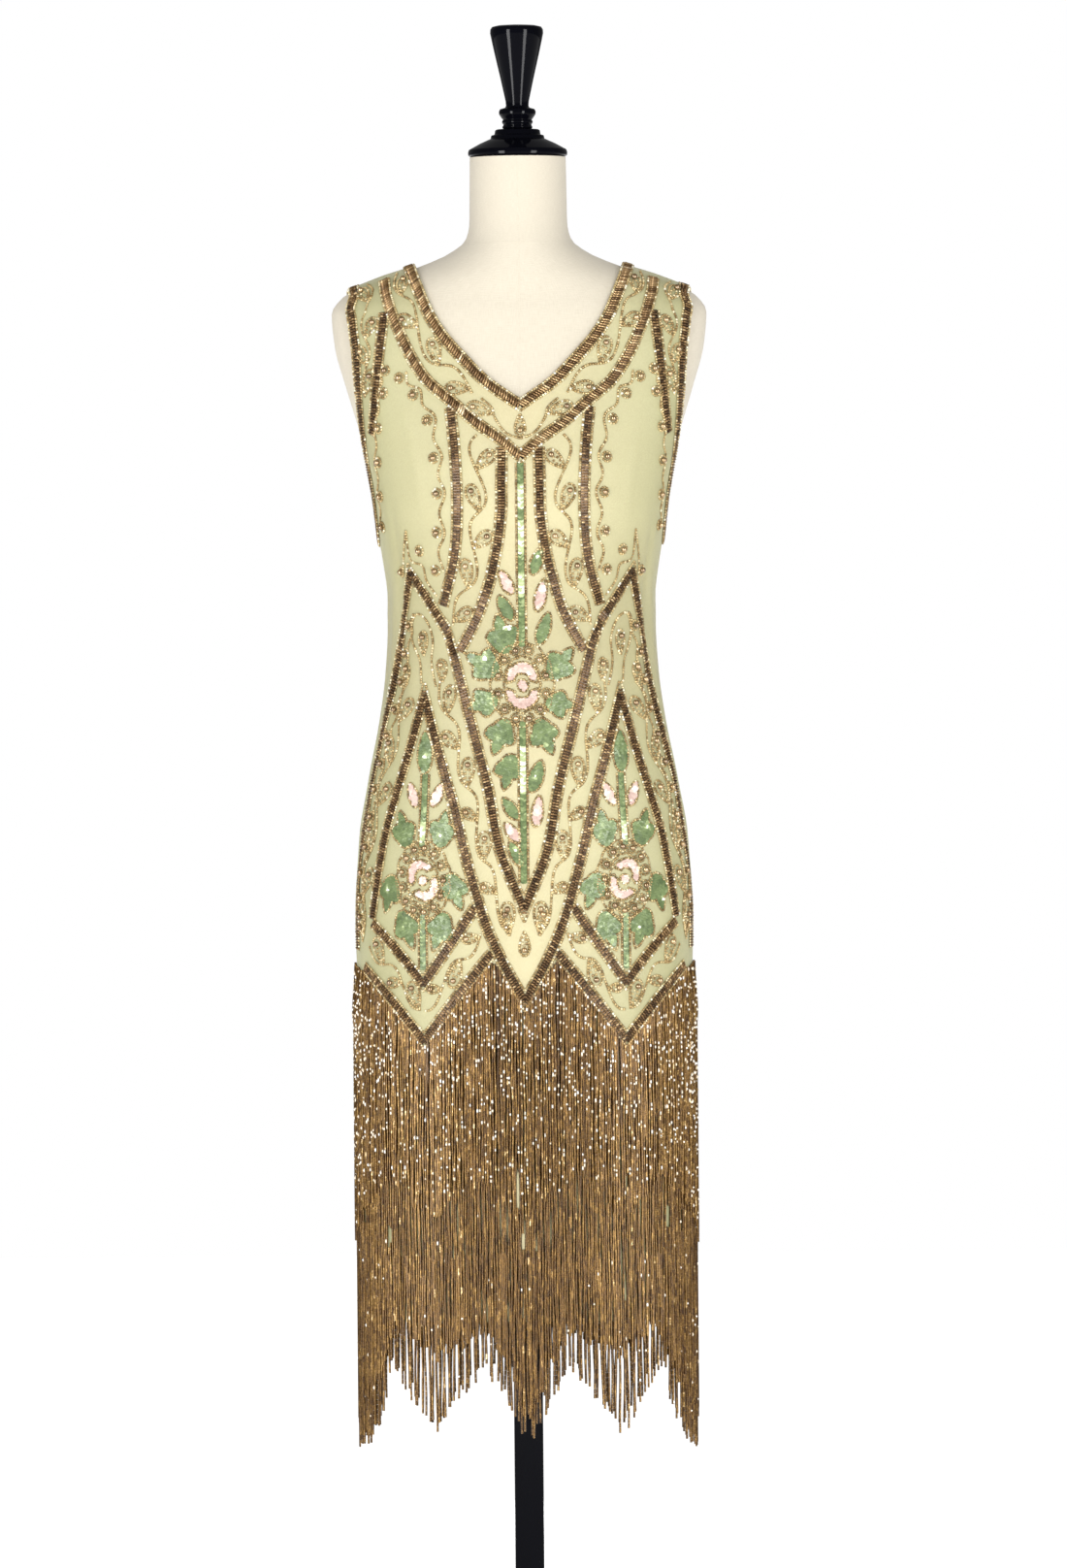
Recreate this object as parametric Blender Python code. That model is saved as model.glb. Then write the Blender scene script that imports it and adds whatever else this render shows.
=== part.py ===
"""A sleeveless beaded dress with a fringed skirt, worn by a limbless dress form on a pole.

Blender 4.5, metres, +Z up. The front of the dress faces -Y and the floor is at Z = 0.
The cloth is two thin walls, front and back, that follow the form at the shoulders and bust and hang
free below. Beaded bands lie on the cloth, and fringe hangs from two strips on each wall."""

import math
import random
from collections import namedtuple

import bmesh
import bpy
import numpy as np
from mathutils import Vector
from mathutils.bvhtree import BVHTree

# Cloth, seams and what lies on them
WALL = 0.0016
SHOULDER_CLEARANCE = 0.0019
SEAM_GAP = 0.0003
EDGE_BAND_MARGIN = 0.0012
NECKLINE_BAND_STEPS = 7
ARMHOLE_BAND_STEPS = 12
BAND_START_DEPTH = 0.0030
BAND_CLEARANCE = 0.0005
SETTLING_ROUNDS = 8
SETTLING_REACH = 0.02
BAND_WIDTH = 0.0110
BAND_THICKNESS = 0.0022
BAND_CROWN = 0.70
BAND_STEP = 0.034
CURVE_STEPS = 12
NECKLINE_BAND_TIP_DROP = 0.0100
MITRE_LIMIT = 1.6
PIECE_GAP = 0.0003

FRONT, BACK = 1, -1
LEFT, RIGHT = -1, 1

# Steps that measure the slope of a surface, and how near the side seam its slope is still measured
SMALL_TURN = math.radians(0.5)
SMALL_RISE = 0.0005
SLOPE_LIMIT = math.radians(88.0)
SEAM_TURN = math.radians(86.0)
WIDEST_SINE = 0.985

# Heights of the garment above the floor
NECKLINE_SHOULDER_WIDTH = 0.1087
SHOULDER_END_HEIGHT = 1.4577
SHOULDER_RIDGE_SPAN = (1.4340, 1.5120)
UNDERARM_HEIGHT = 1.1970
HEM_HEIGHT = 0.3675
HIP_FULL_HEIGHT = 0.7400

# Rows and columns of the cloth's grid
NECKLINE_ROWS = 9
CHEST_ROWS = 4
BODY_ROWS = 13
SKIRT_ROWS = 3
HALF_COLUMNS = 9
SHOULDER_ROW_POWER = 1.25
EDGE_STEPS = 80
NECKLINE_POWER = 1.6

# Fringe
UPPER_STRANDS = 54
HEM_STRANDS = 62
STRAND_SHARE = 0.48
STRAND_THICKNESS = 0.0020
STRAND_JITTER = 0.006
STRIP_HEIGHT = 0.005
STRIP_DROP = 0.012
STRIP_LIFT = 0.0010
FRINGE_SIDE_ANGLE = math.radians(88.5)

# The form, its cap and its stand
FORM_SIDES = 36
FORM_RINGS = 27
TURNED_SIDES = 24
CAP_TOP_HEIGHT = 1.6290
FORM_TOP_HEIGHT = 1.5992
FORM_BOTTOM_HEIGHT = 0.6800
POLE_SIDE = 0.031
POLE_EDGE_ROUNDING = 0.003
BASE_RADIUS = 0.190
BASE_THICKNESS = 0.014
BASE_EDGE = 0.003
BASE_BOSS_RADIUS = 0.032
BASE_BOSS_TOP = 0.034

# Level sections of the form. taper is the power of the section's curve: 0.5 is an ellipse, and more
# draws its two ends to a ridge, as on the shoulders.
Section = namedtuple("Section", "height half_width front_depth back_depth taper")
FORM_SECTIONS = [
    Section(1.5992, 0.0510, 0.0550, 0.0520, 0.50),
    Section(1.5600, 0.0515, 0.0555, 0.0530, 0.50),
    Section(1.5290, 0.0520, 0.0575, 0.0550, 0.50),
    Section(1.5120, 0.0560, 0.0610, 0.0585, 0.54),
    Section(1.4980, 0.0730, 0.0640, 0.0625, 0.62),
    Section(1.4840, 0.1050, 0.0670, 0.0680, 0.74),
    Section(1.4700, 0.1480, 0.0700, 0.0750, 0.80),
    Section(1.4520, 0.1870, 0.0740, 0.0830, 0.72),
    Section(1.4340, 0.1990, 0.0800, 0.0895, 0.60),
    Section(1.4000, 0.1960, 0.0890, 0.0970, 0.50),
    Section(1.3550, 0.1840, 0.1010, 0.1030, 0.46),
    Section(1.3100, 0.1705, 0.1150, 0.1045, 0.45),
    Section(1.2650, 0.1580, 0.1250, 0.1020, 0.44),
    Section(1.2350, 0.1500, 0.1260, 0.0985, 0.44),
    Section(1.2000, 0.1427, 0.1180, 0.0940, 0.45),
    Section(1.1500, 0.1338, 0.1028, 0.0880, 0.47),
    Section(1.1050, 0.1262, 0.0953, 0.0850, 0.49),
    Section(1.0500, 0.1330, 0.0970, 0.0920, 0.48),
    Section(1.0000, 0.1435, 0.1010, 0.1010, 0.47),
    Section(0.9400, 0.1575, 0.1050, 0.1095, 0.46),
    Section(0.8800, 0.1668, 0.1070, 0.1145, 0.46),
    Section(0.8200, 0.1680, 0.1060, 0.1120, 0.46),
    Section(0.7400, 0.1630, 0.1020, 0.1040, 0.47),
    Section(0.6800, 0.1570, 0.0970, 0.0970, 0.48),
]

# How far the cloth stands off the form, besides the clearance: it hangs from the bust and the hips.
Ease = namedtuple("Ease", "height side front back")
DRESS_EASE = [
    Ease(1.5200, 0.0000, 0.0000, 0.0000),
    Ease(1.3100, 0.0000, 0.0000, 0.0000),
    Ease(1.2650, 0.0010, 0.0015, 0.0020),
    Ease(1.1970, 0.0052, 0.0075, 0.0060),
    Ease(1.1480, 0.0063, 0.0140, 0.0090),
    Ease(1.1070, 0.0127, 0.0180, 0.0120),
    Ease(1.0450, 0.0085, 0.0150, 0.0100),
    Ease(0.9830, 0.0045, 0.0100, 0.0070),
    Ease(0.9220, 0.0030, 0.0075, 0.0060),
    Ease(0.8700, 0.0045, 0.0075, 0.0065),
    Ease(0.7980, 0.0085, 0.0095, 0.0100),
    Ease(0.7360, 0.0120, 0.0125, 0.0150),
    Ease(0.6800, 0.0170, 0.0175, 0.0210),
    Ease(0.3675, 0.0170, 0.0185, 0.0220),
]

# Soft upright folds where the cloth hangs free between bust and hip. around is degrees from the
# middle of the wall, and depth is how far the ridge stands out.
Fold = namedtuple("Fold", "around top bottom spread depth")
FOLDS = [
    Fold(74.0, 1.190, 0.900, 8.0, 0.0030),
    Fold(58.0, 1.165, 0.960, 7.0, 0.0022),
    Fold(-70.0, 1.190, 0.920, 8.0, 0.0028),
    Fold(-54.0, 1.150, 0.970, 7.0, 0.0020),
]

# The neckline's half width at each height, from its point up. The shoulder ridge ends it.
EdgeRow = namedtuple("EdgeRow", "height across")
NECKLINES = {
    FRONT: [
        EdgeRow(1.3400, 0.0000),
        EdgeRow(1.3625, 0.0310),
        EdgeRow(1.3870, 0.0546),
        EdgeRow(1.4150, 0.0780),
        EdgeRow(1.4367, 0.0906),
        EdgeRow(1.4560, 0.0985),
        EdgeRow(1.4700, 0.1040),
    ],
    BACK: [
        EdgeRow(1.3900, 0.0000),
        EdgeRow(1.4060, 0.0260),
        EdgeRow(1.4250, 0.0520),
        EdgeRow(1.4440, 0.0760),
        EdgeRow(1.4600, 0.0935),
        EdgeRow(1.4720, 0.1030),
    ],
}

# How far the armhole's edge lies in front of the side line, or behind it, from shoulder to underarm.
ArmholeRow = namedtuple("ArmholeRow", "height front back")
ARMHOLE = [
    ArmholeRow(SHOULDER_END_HEIGHT, 0.000, 0.000),
    ArmholeRow(1.4500, 0.016, 0.015),
    ArmholeRow(1.4350, 0.027, 0.025),
    ArmholeRow(1.4180, 0.034, 0.031),
    ArmholeRow(1.3845, 0.041, 0.037),
    ArmholeRow(1.3430, 0.038, 0.034),
    ArmholeRow(1.2990, 0.029, 0.027),
    ArmholeRow(1.2465, 0.019, 0.018),
    ArmholeRow(1.2150, 0.012, 0.011),
    ArmholeRow(1.2030, 0.007, 0.007),
    ArmholeRow(UNDERARM_HEIGHT, 0.000, 0.000),
]

# Beaded bands on one half of a wall, seen from in front: distance from the middle, and height.
Spot = namedtuple("Spot", "across height")
NECK_BAND = {
    FRONT: [
        Spot(0.1445, 1.4660), Spot(0.1400, 1.4450), Spot(0.1310, 1.4200), Spot(0.1160, 1.3870),
        Spot(0.0980, 1.3595), Spot(0.0770, 1.3410), Spot(0.0470, 1.3150), Spot(0.0230, 1.2976),
        Spot(0.0000, 1.2780),
    ],
    BACK: [
        Spot(0.1445, 1.4660), Spot(0.1400, 1.4500), Spot(0.1300, 1.4300), Spot(0.1120, 1.4050),
        Spot(0.0800, 1.3780), Spot(0.0400, 1.3510), Spot(0.0000, 1.3270),
    ],
}
STRAP_BAND = [Spot(0.1430, 1.4210), Spot(0.1480, 1.3930), Spot(0.1500, 1.3540), Spot(0.1510, 1.3150)]
OUTER_PRINCESS = {
    FRONT: [
        Spot(0.0735, 1.3220), Spot(0.0705, 1.2987), Spot(0.0685, 1.2710), Spot(0.0670, 1.2327),
        Spot(0.0685, 1.1915), Spot(0.0730, 1.1616), Spot(0.0785, 1.1350),
    ],
    BACK: [
        Spot(0.0760, 1.3560), Spot(0.0705, 1.2987), Spot(0.0685, 1.2710), Spot(0.0670, 1.2327),
        Spot(0.0685, 1.1915), Spot(0.0730, 1.1616), Spot(0.0785, 1.1350),
    ],
}
INNER_PRINCESS = {
    FRONT: [
        Spot(0.0195, 1.2770), Spot(0.0203, 1.2460), Spot(0.0206, 1.2230), Spot(0.0254, 1.1925),
        Spot(0.0330, 1.1616), Spot(0.0425, 1.1330), Spot(0.0543, 1.1050), Spot(0.0600, 1.0920),
    ],
    BACK: [
        Spot(0.0195, 1.3230), Spot(0.0200, 1.2800), Spot(0.0206, 1.2230), Spot(0.0254, 1.1925),
        Spot(0.0330, 1.1616), Spot(0.0425, 1.1330), Spot(0.0543, 1.1050), Spot(0.0600, 1.0920),
    ],
}
OUTER_PEAK = Spot(0.1170, 1.1590)
OUTER_POINT = Spot(0.0000, 0.8020)
OUTER_CHEVRON_SIDE_LEG = [
    Spot(0.1760, 0.7600), Spot(0.1757, 0.8200), Spot(0.1724, 0.8570), Spot(0.1607, 0.9280),
    Spot(0.1484, 0.9780), Spot(0.1347, 1.0390), Spot(0.1248, 1.1000), OUTER_PEAK,
]
OUTER_CHEVRON_MIDDLE_LEG = [
    OUTER_PEAK, Spot(0.0865, 1.1092), Spot(0.0750, 1.0834), Spot(0.0670, 1.0505),
    Spot(0.0515, 0.9865), Spot(0.0370, 0.9278), Spot(0.0250, 0.8640), OUTER_POINT,
]
INNER_PEAK = Spot(0.1034, 1.0278)
INNER_POINT = Spot(0.0000, 0.7045)
INNER_CHEVRON_SIDE_LEG = [
    Spot(0.1598, 0.8030), Spot(0.1530, 0.8445), Spot(0.1458, 0.8825), Spot(0.1344, 0.9227),
    Spot(0.1198, 0.9700), INNER_PEAK,
]
INNER_CHEVRON_MIDDLE_LEG = [
    INNER_PEAK, Spot(0.0890, 0.9680), Spot(0.0730, 0.9083), Spot(0.0623, 0.8610),
    Spot(0.0515, 0.8210), Spot(0.0407, 0.7860), Spot(0.0230, 0.7460), INNER_POINT,
]
DIAMOND_TIP = Spot(0.1076, 0.7240)
DIAMOND_LEGS = [
    [Spot(0.1590, 0.7870), Spot(0.1320, 0.7560), DIAMOND_TIP],
    [DIAMOND_TIP, Spot(0.0810, 0.7620), Spot(0.0590, 0.7930)],
]
FRINGE_SIDE = Spot(0.1740, 0.7516)
FRINGE_TIP = Spot(0.1070, 0.6640)
FRINGE_NOTCH = Spot(0.0440, 0.7450)
FRINGE_EDGE_LEGS = [
    [Spot(0.1690, 0.7420), Spot(0.1400, 0.7060), FRINGE_TIP],
    [FRINGE_TIP, Spot(0.0760, 0.7050), FRINGE_NOTCH],
]

# Where the upper fringe starts, and where each fringe ends, from the middle to the side seam.
UPPER_FRINGE_ROOTS = [INNER_POINT, Spot(0.0330, 0.7570), FRINGE_TIP, FRINGE_SIDE]
UPPER_FRINGE_ENDS = [
    Spot(0.0000, 0.4000), Spot(0.0460, 0.4550), Spot(0.0950, 0.4050), Spot(0.1450, 0.4550),
    Spot(0.1750, 0.3950),
]
HEM_FRINGE_ENDS = [
    Spot(0.0000, 0.2330), Spot(0.0460, 0.3200), Spot(0.0950, 0.2520), Spot(0.1450, 0.3260),
    Spot(0.1750, 0.2300),
]

# Turned profiles, radius and height, from the bottom up.
TurnedRow = namedtuple("TurnedRow", "radius height")
CAP_PROFILE = [
    TurnedRow(0.0000, 1.5995), TurnedRow(0.0500, 1.5995), TurnedRow(0.0525, 1.6020),
    TurnedRow(0.0525, 1.6070), TurnedRow(0.0500, 1.6095), TurnedRow(0.0400, 1.6155),
    TurnedRow(0.0290, 1.6195), TurnedRow(0.0280, 1.6235), TurnedRow(0.0240, 1.6245),
    TurnedRow(0.0235, 1.6285), TurnedRow(0.0000, CAP_TOP_HEIGHT),
]
FINIAL_PROFILE = [
    TurnedRow(0.0000, CAP_TOP_HEIGHT + PIECE_GAP), TurnedRow(0.0150, CAP_TOP_HEIGHT + PIECE_GAP),
    TurnedRow(0.0158, 1.6320), TurnedRow(0.0145, 1.6348), TurnedRow(0.0165, 1.6375),
    TurnedRow(0.0190, 1.6420), TurnedRow(0.0192, 1.6460), TurnedRow(0.0170, 1.6495),
    TurnedRow(0.0120, 1.6515), TurnedRow(0.0118, 1.6550), TurnedRow(0.0150, 1.6700),
    TurnedRow(0.0205, 1.6950), TurnedRow(0.0270, 1.7240), TurnedRow(0.0285, 1.7320),
    TurnedRow(0.0270, 1.7370), TurnedRow(0.0200, 1.7392), TurnedRow(0.0000, 1.7400),
]


def column(rows, name):
    return [getattr(row, name) for row in rows]


def smooth_value(places, values, place):
    """A smooth curve through (places, values), with no bump between two rows. It holds past the ends."""
    order = np.argsort(places)
    p, v = np.array(places, float)[order], np.array(values, float)[order]
    place = min(max(place, p[0]), p[-1])
    slopes = np.diff(v) / np.diff(p)
    tangents = np.zeros(len(p))
    tangents[0], tangents[-1] = slopes[0], slopes[-1]
    for i in range(1, len(p) - 1):
        if slopes[i - 1] * slopes[i] > 0:
            tangents[i] = 2 * slopes[i - 1] * slopes[i] / (slopes[i - 1] + slopes[i])
    i = min(int(np.searchsorted(p, place, side="right")) - 1, len(p) - 2)
    span = p[i + 1] - p[i]
    t = (place - p[i]) / span
    return float(
        (2 * t**3 - 3 * t**2 + 1) * v[i]
        + (t**3 - 2 * t**2 + t) * span * tangents[i]
        + (3 * t**2 - 2 * t**3) * v[i + 1]
        + (t**3 - t**2) * span * tangents[i + 1]
    )


FORM_HEIGHTS = column(FORM_SECTIONS, "height")
EASE_HEIGHTS = column(DRESS_EASE, "height")


def form_size(name, height):
    return smooth_value(FORM_HEIGHTS, column(FORM_SECTIONS, name), height)


def ease(name, height):
    return smooth_value(EASE_HEIGHTS, column(DRESS_EASE, name), height)


def section_size(face, height, dressed):
    """(half width, depth, taper) of one face of the form, or of the cloth's base surface round it."""
    half_width = form_size("half_width", height)
    depth = form_size("front_depth" if face == FRONT else "back_depth", height)
    if dressed:
        half_width += ease("side", height)
        depth += ease("front" if face == FRONT else "back", height)
    return half_width, depth, form_size("taper", height)


def fold_depth(face, angle, height):
    total = 0.0
    for fold in FOLDS:
        away = (math.degrees(angle) - fold.around * face) / fold.spread
        share = (fold.top - height) / (fold.top - fold.bottom)
        if 0 < share < 1 and abs(away) < 1:
            total += fold.depth * math.sin(math.pi * share) * math.cos(away * math.pi / 2) ** 2
    return total


def surface(face, angle, height, dressed=True):
    """A point of the base surface. angle is 0 in the middle of the face and a quarter turn at the side."""
    half_width, depth, taper = section_size(face, height, dressed)
    cosine = max(math.cos(angle), 0.0)
    point = Vector((half_width * math.sin(angle), -face * depth * cosine ** (2 * taper), height))
    if dressed:
        outward = Vector((point.x, point.y, 0.0))
        if outward.length > 0:
            point += outward.normalized() * fold_depth(face, angle, height)
    return point


def normal(face, angle, height):
    """The outward direction of the dressed surface."""
    angle = max(-SLOPE_LIMIT, min(SLOPE_LIMIT, angle))
    across = surface(face, angle + SMALL_TURN, height) - surface(face, angle - SMALL_TURN, height)
    up = surface(face, angle, height + SMALL_RISE) - surface(face, angle, height - SMALL_RISE)
    return (across.cross(up) * face).normalized()


def ridge_normal(face, angle, height):
    """The outward direction, with no lean to front or back where the wall meets its side seam."""
    found = normal(face, angle, height)
    near_seam = (abs(angle) - SEAM_TURN) / (math.pi / 2 - SEAM_TURN)
    if near_seam > 0:
        found.y *= 1.0 - min(near_seam, 1.0)
        found.normalize()
    return found


OUTER_LIFT = SHOULDER_CLEARANCE + WALL


def cloth_point(face, angle, height, lift=0.0):
    """A point that stands lift outside the cloth's outer side."""
    point = surface(face, angle, height) + ridge_normal(face, angle, height) * (OUTER_LIFT + lift)
    point.y -= face * SEAM_GAP / 2
    return point


def angle_at(face, across, height):
    """The angle at which the cloth is across from the middle, seen from in front."""
    half_width = section_size(face, height, True)[0] + OUTER_LIFT
    return math.asin(max(-WIDEST_SINE, min(WIDEST_SINE, across / half_width)))


def ridge_height(across):
    """The height of the shoulder ridge at a distance from the middle."""
    low, high = SHOULDER_RIDGE_SPAN
    for _ in range(40):
        middle = (low + high) / 2
        if section_size(FRONT, middle, True)[0] > across:
            low = middle
        else:
            high = middle
    return (low + high) / 2


def neckline_edge(face):
    """(angle, height) along the neckline, from the shoulder ridge to its point."""
    rows = NECKLINES[face]
    top = ridge_height(NECKLINE_SHOULDER_WIDTH)
    heights = column(rows, "height") + [top]
    widths = column(rows, "across") + [NECKLINE_SHOULDER_WIDTH]
    found = [(math.pi / 2, top)]
    for i in range(1, EDGE_STEPS + 1):
        height = top - (top - heights[0]) * (i / EDGE_STEPS) ** NECKLINE_POWER
        half_width = section_size(face, height, True)[0]
        across = smooth_value(heights, widths, height)
        found.append((math.asin(min(across / half_width, 1.0)), height))
    return found


def armhole_edge(face):
    """(angle, height) along the armhole, from the shoulder ridge to the underarm."""
    name = "front" if face == FRONT else "back"
    heights, depths = column(ARMHOLE, "height"), column(ARMHOLE, name)
    found = []
    for i in range(EDGE_STEPS + 1):
        share = (1 - math.cos(math.pi * i / EDGE_STEPS)) / 2
        height = heights[0] + (heights[-1] - heights[0]) * share
        _, depth, taper = section_size(face, height, True)
        forward = max(smooth_value(heights, depths, height), 0.0)
        cosine = (forward / depth) ** (1 / (2 * taper))
        found.append((math.acos(min(cosine, 1.0)), height))
    return found


def resampled(face, edge, count, power=1.0):
    """count + 1 places along an edge of (angle, height) pairs, closer at its start if power is over 1."""
    points = [surface(face, angle, height) for angle, height in edge]
    run = [0.0]
    for a, b in zip(points, points[1:]):
        run.append(run[-1] + (b - a).length)
    found = []
    for i in range(count + 1):
        target = run[-1] * (i / count) ** power
        angle = float(np.interp(target, run, [p[0] for p in edge]))
        height = float(np.interp(target, run, [p[1] for p in edge]))
        found.append((angle, height))
    return found


def wall_rows(face):
    """(inner place, outer place) of each row of a half wall, from the shoulder seam to the hem."""
    top_rows = NECKLINE_ROWS + CHEST_ROWS
    inner = resampled(face, neckline_edge(face), NECKLINE_ROWS, SHOULDER_ROW_POWER)
    point_height = inner[-1][1]
    for i in range(1, CHEST_ROWS + 1):
        inner.append((0.0, point_height + (UNDERARM_HEIGHT - point_height) * i / CHEST_ROWS))
    outer = resampled(face, armhole_edge(face), top_rows, SHOULDER_ROW_POWER)
    rows = list(zip(inner, outer))
    body = np.linspace(UNDERARM_HEIGHT, HIP_FULL_HEIGHT, BODY_ROWS + 1)[1:]
    skirt = np.linspace(HIP_FULL_HEIGHT, HEM_HEIGHT, SKIRT_ROWS + 1)[1:]
    for height in [*body, *skirt]:
        rows.append(((0.0, float(height)), (math.pi / 2, float(height))))
    return rows


def material(name, colour, roughness, metallic=0.0):
    made = bpy.data.materials.new(name)
    made.use_nodes = True
    shader = made.node_tree.nodes["Principled BSDF"]
    shader.inputs["Base Color"].default_value = (*colour, 1.0)
    shader.inputs["Roughness"].default_value = roughness
    shader.inputs["Metallic"].default_value = metallic
    return made


def link_mesh(name, bm, finish, smooth=True):
    """Makes an object of a bmesh, with its faces pointing out."""
    bmesh.ops.recalc_face_normals(bm, faces=bm.faces)
    mesh = bpy.data.meshes.new(name)
    bm.to_mesh(mesh)
    bm.free()
    if smooth:
        mesh.shade_smooth()
        mesh.set_sharp_from_angle(angle=math.radians(40))
    mesh.materials.append(finish)
    made = bpy.data.objects.new(name, mesh)
    bpy.context.scene.collection.objects.link(made)
    return made


def wall_grid(bm, face, lift):
    """The vertices of one side of a wall, by (row, side, step). The straps are two halves, and below the
    neckline's point they share their middle column."""
    vertices = {}
    rows = wall_rows(face)
    for side in (LEFT, RIGHT):
        for row, (inner, outer) in enumerate(rows):
            for step in range(HALF_COLUMNS + 1):
                key = (row, side, step)
                if step == 0 and row >= NECKLINE_ROWS and (row, -side, 0) in vertices:
                    vertices[key] = vertices[(row, -side, 0)]
                    continue
                share = step / HALF_COLUMNS
                angle = inner[0] + (outer[0] - inner[0]) * share
                height = inner[1] + (outer[1] - inner[1]) * share
                vertices[key] = bm.verts.new(cloth_point(face, angle * side, height, lift))
    return vertices, len(rows)


def wall_faces(bm, face, lift):
    """One side of a wall as triangles that point out, and its vertices by place."""
    vertices, row_count = wall_grid(bm, face, lift)
    for side in (LEFT, RIGHT):
        for row in range(row_count - 1):
            for step in range(HALF_COLUMNS):
                corners = [
                    vertices[(row, side, step)],
                    vertices[(row + 1, side, step)],
                    vertices[(row + 1, side, step + 1)],
                    vertices[(row, side, step + 1)],
                ]
                if side * face < 0:
                    corners.reverse()
                bm.faces.new(corners[:3])
                bm.faces.new([corners[0], *corners[2:]])
    return vertices


def dress_wall(name, face, finish):
    """The front or the back of the dress: its outer side, its inner side and the cut edges between them."""
    bm = bmesh.new()
    outer = wall_faces(bm, face, 0.0)
    cut_edges = [edge for edge in bm.edges if edge.is_boundary]
    outer_side = BVHTree.FromBMesh(bm)
    inner = wall_faces(bm, face, -WALL)
    partner = {outer[place]: inner[place] for place in outer}
    for edge in cut_edges:
        a, b = edge.verts
        bm.faces.new((a, b, partner[b], partner[a]))
    link_mesh(name, bm, finish)
    return outer_side


def smooth_path(spots):
    """Spots joined by one smooth curve, close together."""
    if len(spots) == 2:
        spots = [spots[0], Spot(*((np.array(spots[0]) + np.array(spots[1])) / 2)), spots[1]]
    points = [np.array(s, float) for s in spots]
    points = [2 * points[0] - points[1], *points, 2 * points[-1] - points[-2]]
    found = []
    for i in range(1, len(points) - 2):
        before, start, end, after = points[i - 1 : i + 3]
        for t in np.linspace(0.0, 1.0, CURVE_STEPS, endpoint=False):
            found.append(
                0.5
                * (
                    2 * start
                    + (end - before) * t
                    + (2 * before - 5 * start + 4 * end - after) * t**2
                    + (3 * start - before - 3 * end + after) * t**3
                )
            )
    found.append(points[-2])
    return found


def leg_places(face, side, spots, step=BAND_STEP):
    """(angle, height) along one leg of a band, evenly spaced on the cloth."""
    edge = [(angle_at(face, p[0], p[1]) * side, float(p[1])) for p in smooth_path(spots)]
    points = [surface(face, *place) for place in edge]
    length = sum((b - a).length for a, b in zip(points, points[1:]))
    return resampled(face, edge, max(2, round(length / step)))


def joined_legs(legs):
    """Legs that meet end to end, as one list of places."""
    found = list(legs[0])
    for leg in legs[1:]:
        found += leg[1:]
    return found


def shifted(face, place, direction, distance):
    """The place that lies distance away along a direction of the tangent plane."""
    angle, height = max(-SEAM_TURN, min(SEAM_TURN, place[0])), place[1]
    around = surface(face, angle + SMALL_TURN, height) - surface(face, angle - SMALL_TURN, height)
    up = surface(face, angle, height + SMALL_RISE) - surface(face, angle, height - SMALL_RISE)
    slopes = np.array([around / (2 * SMALL_TURN), up / (2 * SMALL_RISE)]).T
    move, *_ = np.linalg.lstsq(slopes, np.array(direction) * distance, rcond=None)
    return place[0] + float(move[0]), place[1] + float(move[1])


def edge_band_places(face, side, edge, count, inward_sign, first, last):
    """Places beside an edge of the wall, half a band and a margin from it, from first to last share."""
    dense = resampled(face, edge, EDGE_STEPS)
    found = []
    for i in range(count + 1):
        k = round((first + (last - first) * i / count) * EDGE_STEPS)
        place, before, after = dense[k], dense[max(k - 2, 0)], dense[min(k + 2, EDGE_STEPS)]
        along = (surface(face, *after) - surface(face, *before)).normalized()
        inward = normal(face, *place).cross(along).normalized() * inward_sign * face
        moved = shifted(face, place, inward, BAND_WIDTH / 2 + EDGE_BAND_MARGIN)
        found.append((moved[0] * side, moved[1]))
    return found


def clearances(points, ups, acrosses, widths, lifts, outer_side):
    """(index of the stretch, share along it, clearance to the cloth) at samples under a band."""
    for i in range(len(points) - 1):
        start, end = points[i] + ups[i] * lifts[i], points[i + 1] + ups[i + 1] * lifts[i + 1]
        for share in (0.0, 0.2, 0.4, 0.6, 0.8, 1.0):
            up = ups[i].lerp(ups[i + 1], share).normalized()
            across = acrosses[i].lerp(acrosses[i + 1], share)
            left = widths[i][0] * (1 - share) + widths[i + 1][0] * share
            right = widths[i][1] * (1 - share) + widths[i + 1][1] * share
            for sideways in (-right, -right / 2, 0.0, left / 2, left):
                above = start.lerp(end, share) + across * sideways + up * SETTLING_REACH
                _, _, _, distance = outer_side.ray_cast(above, -up, 2 * SETTLING_REACH)
                if distance is not None:
                    yield i, share, distance - SETTLING_REACH


def settled_lifts(points, ups, acrosses, widths, outer_side):
    """How far each cross section stands off the smooth surface, so that the band just clears the cloth."""
    lifts = [-BAND_START_DEPTH] * len(points)
    for _ in range(SETTLING_ROUNDS):
        raises = [0.0] * len(points)
        for i, share, clearance in clearances(points, ups, acrosses, widths, lifts, outer_side):
            missing = max(BAND_CLEARANCE - clearance, 0.0) / ((1 - share) ** 2 + share**2)
            raises[i] = max(raises[i], missing * (1 - share))
            raises[i + 1] = max(raises[i + 1], missing * share)
        lifts = [lift + more for lift, more in zip(lifts, raises)]
    least = min(found[2] for found in clearances(points, ups, acrosses, widths, lifts, outer_side))
    return [lift - (least - BAND_CLEARANCE) for lift in lifts]


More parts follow.
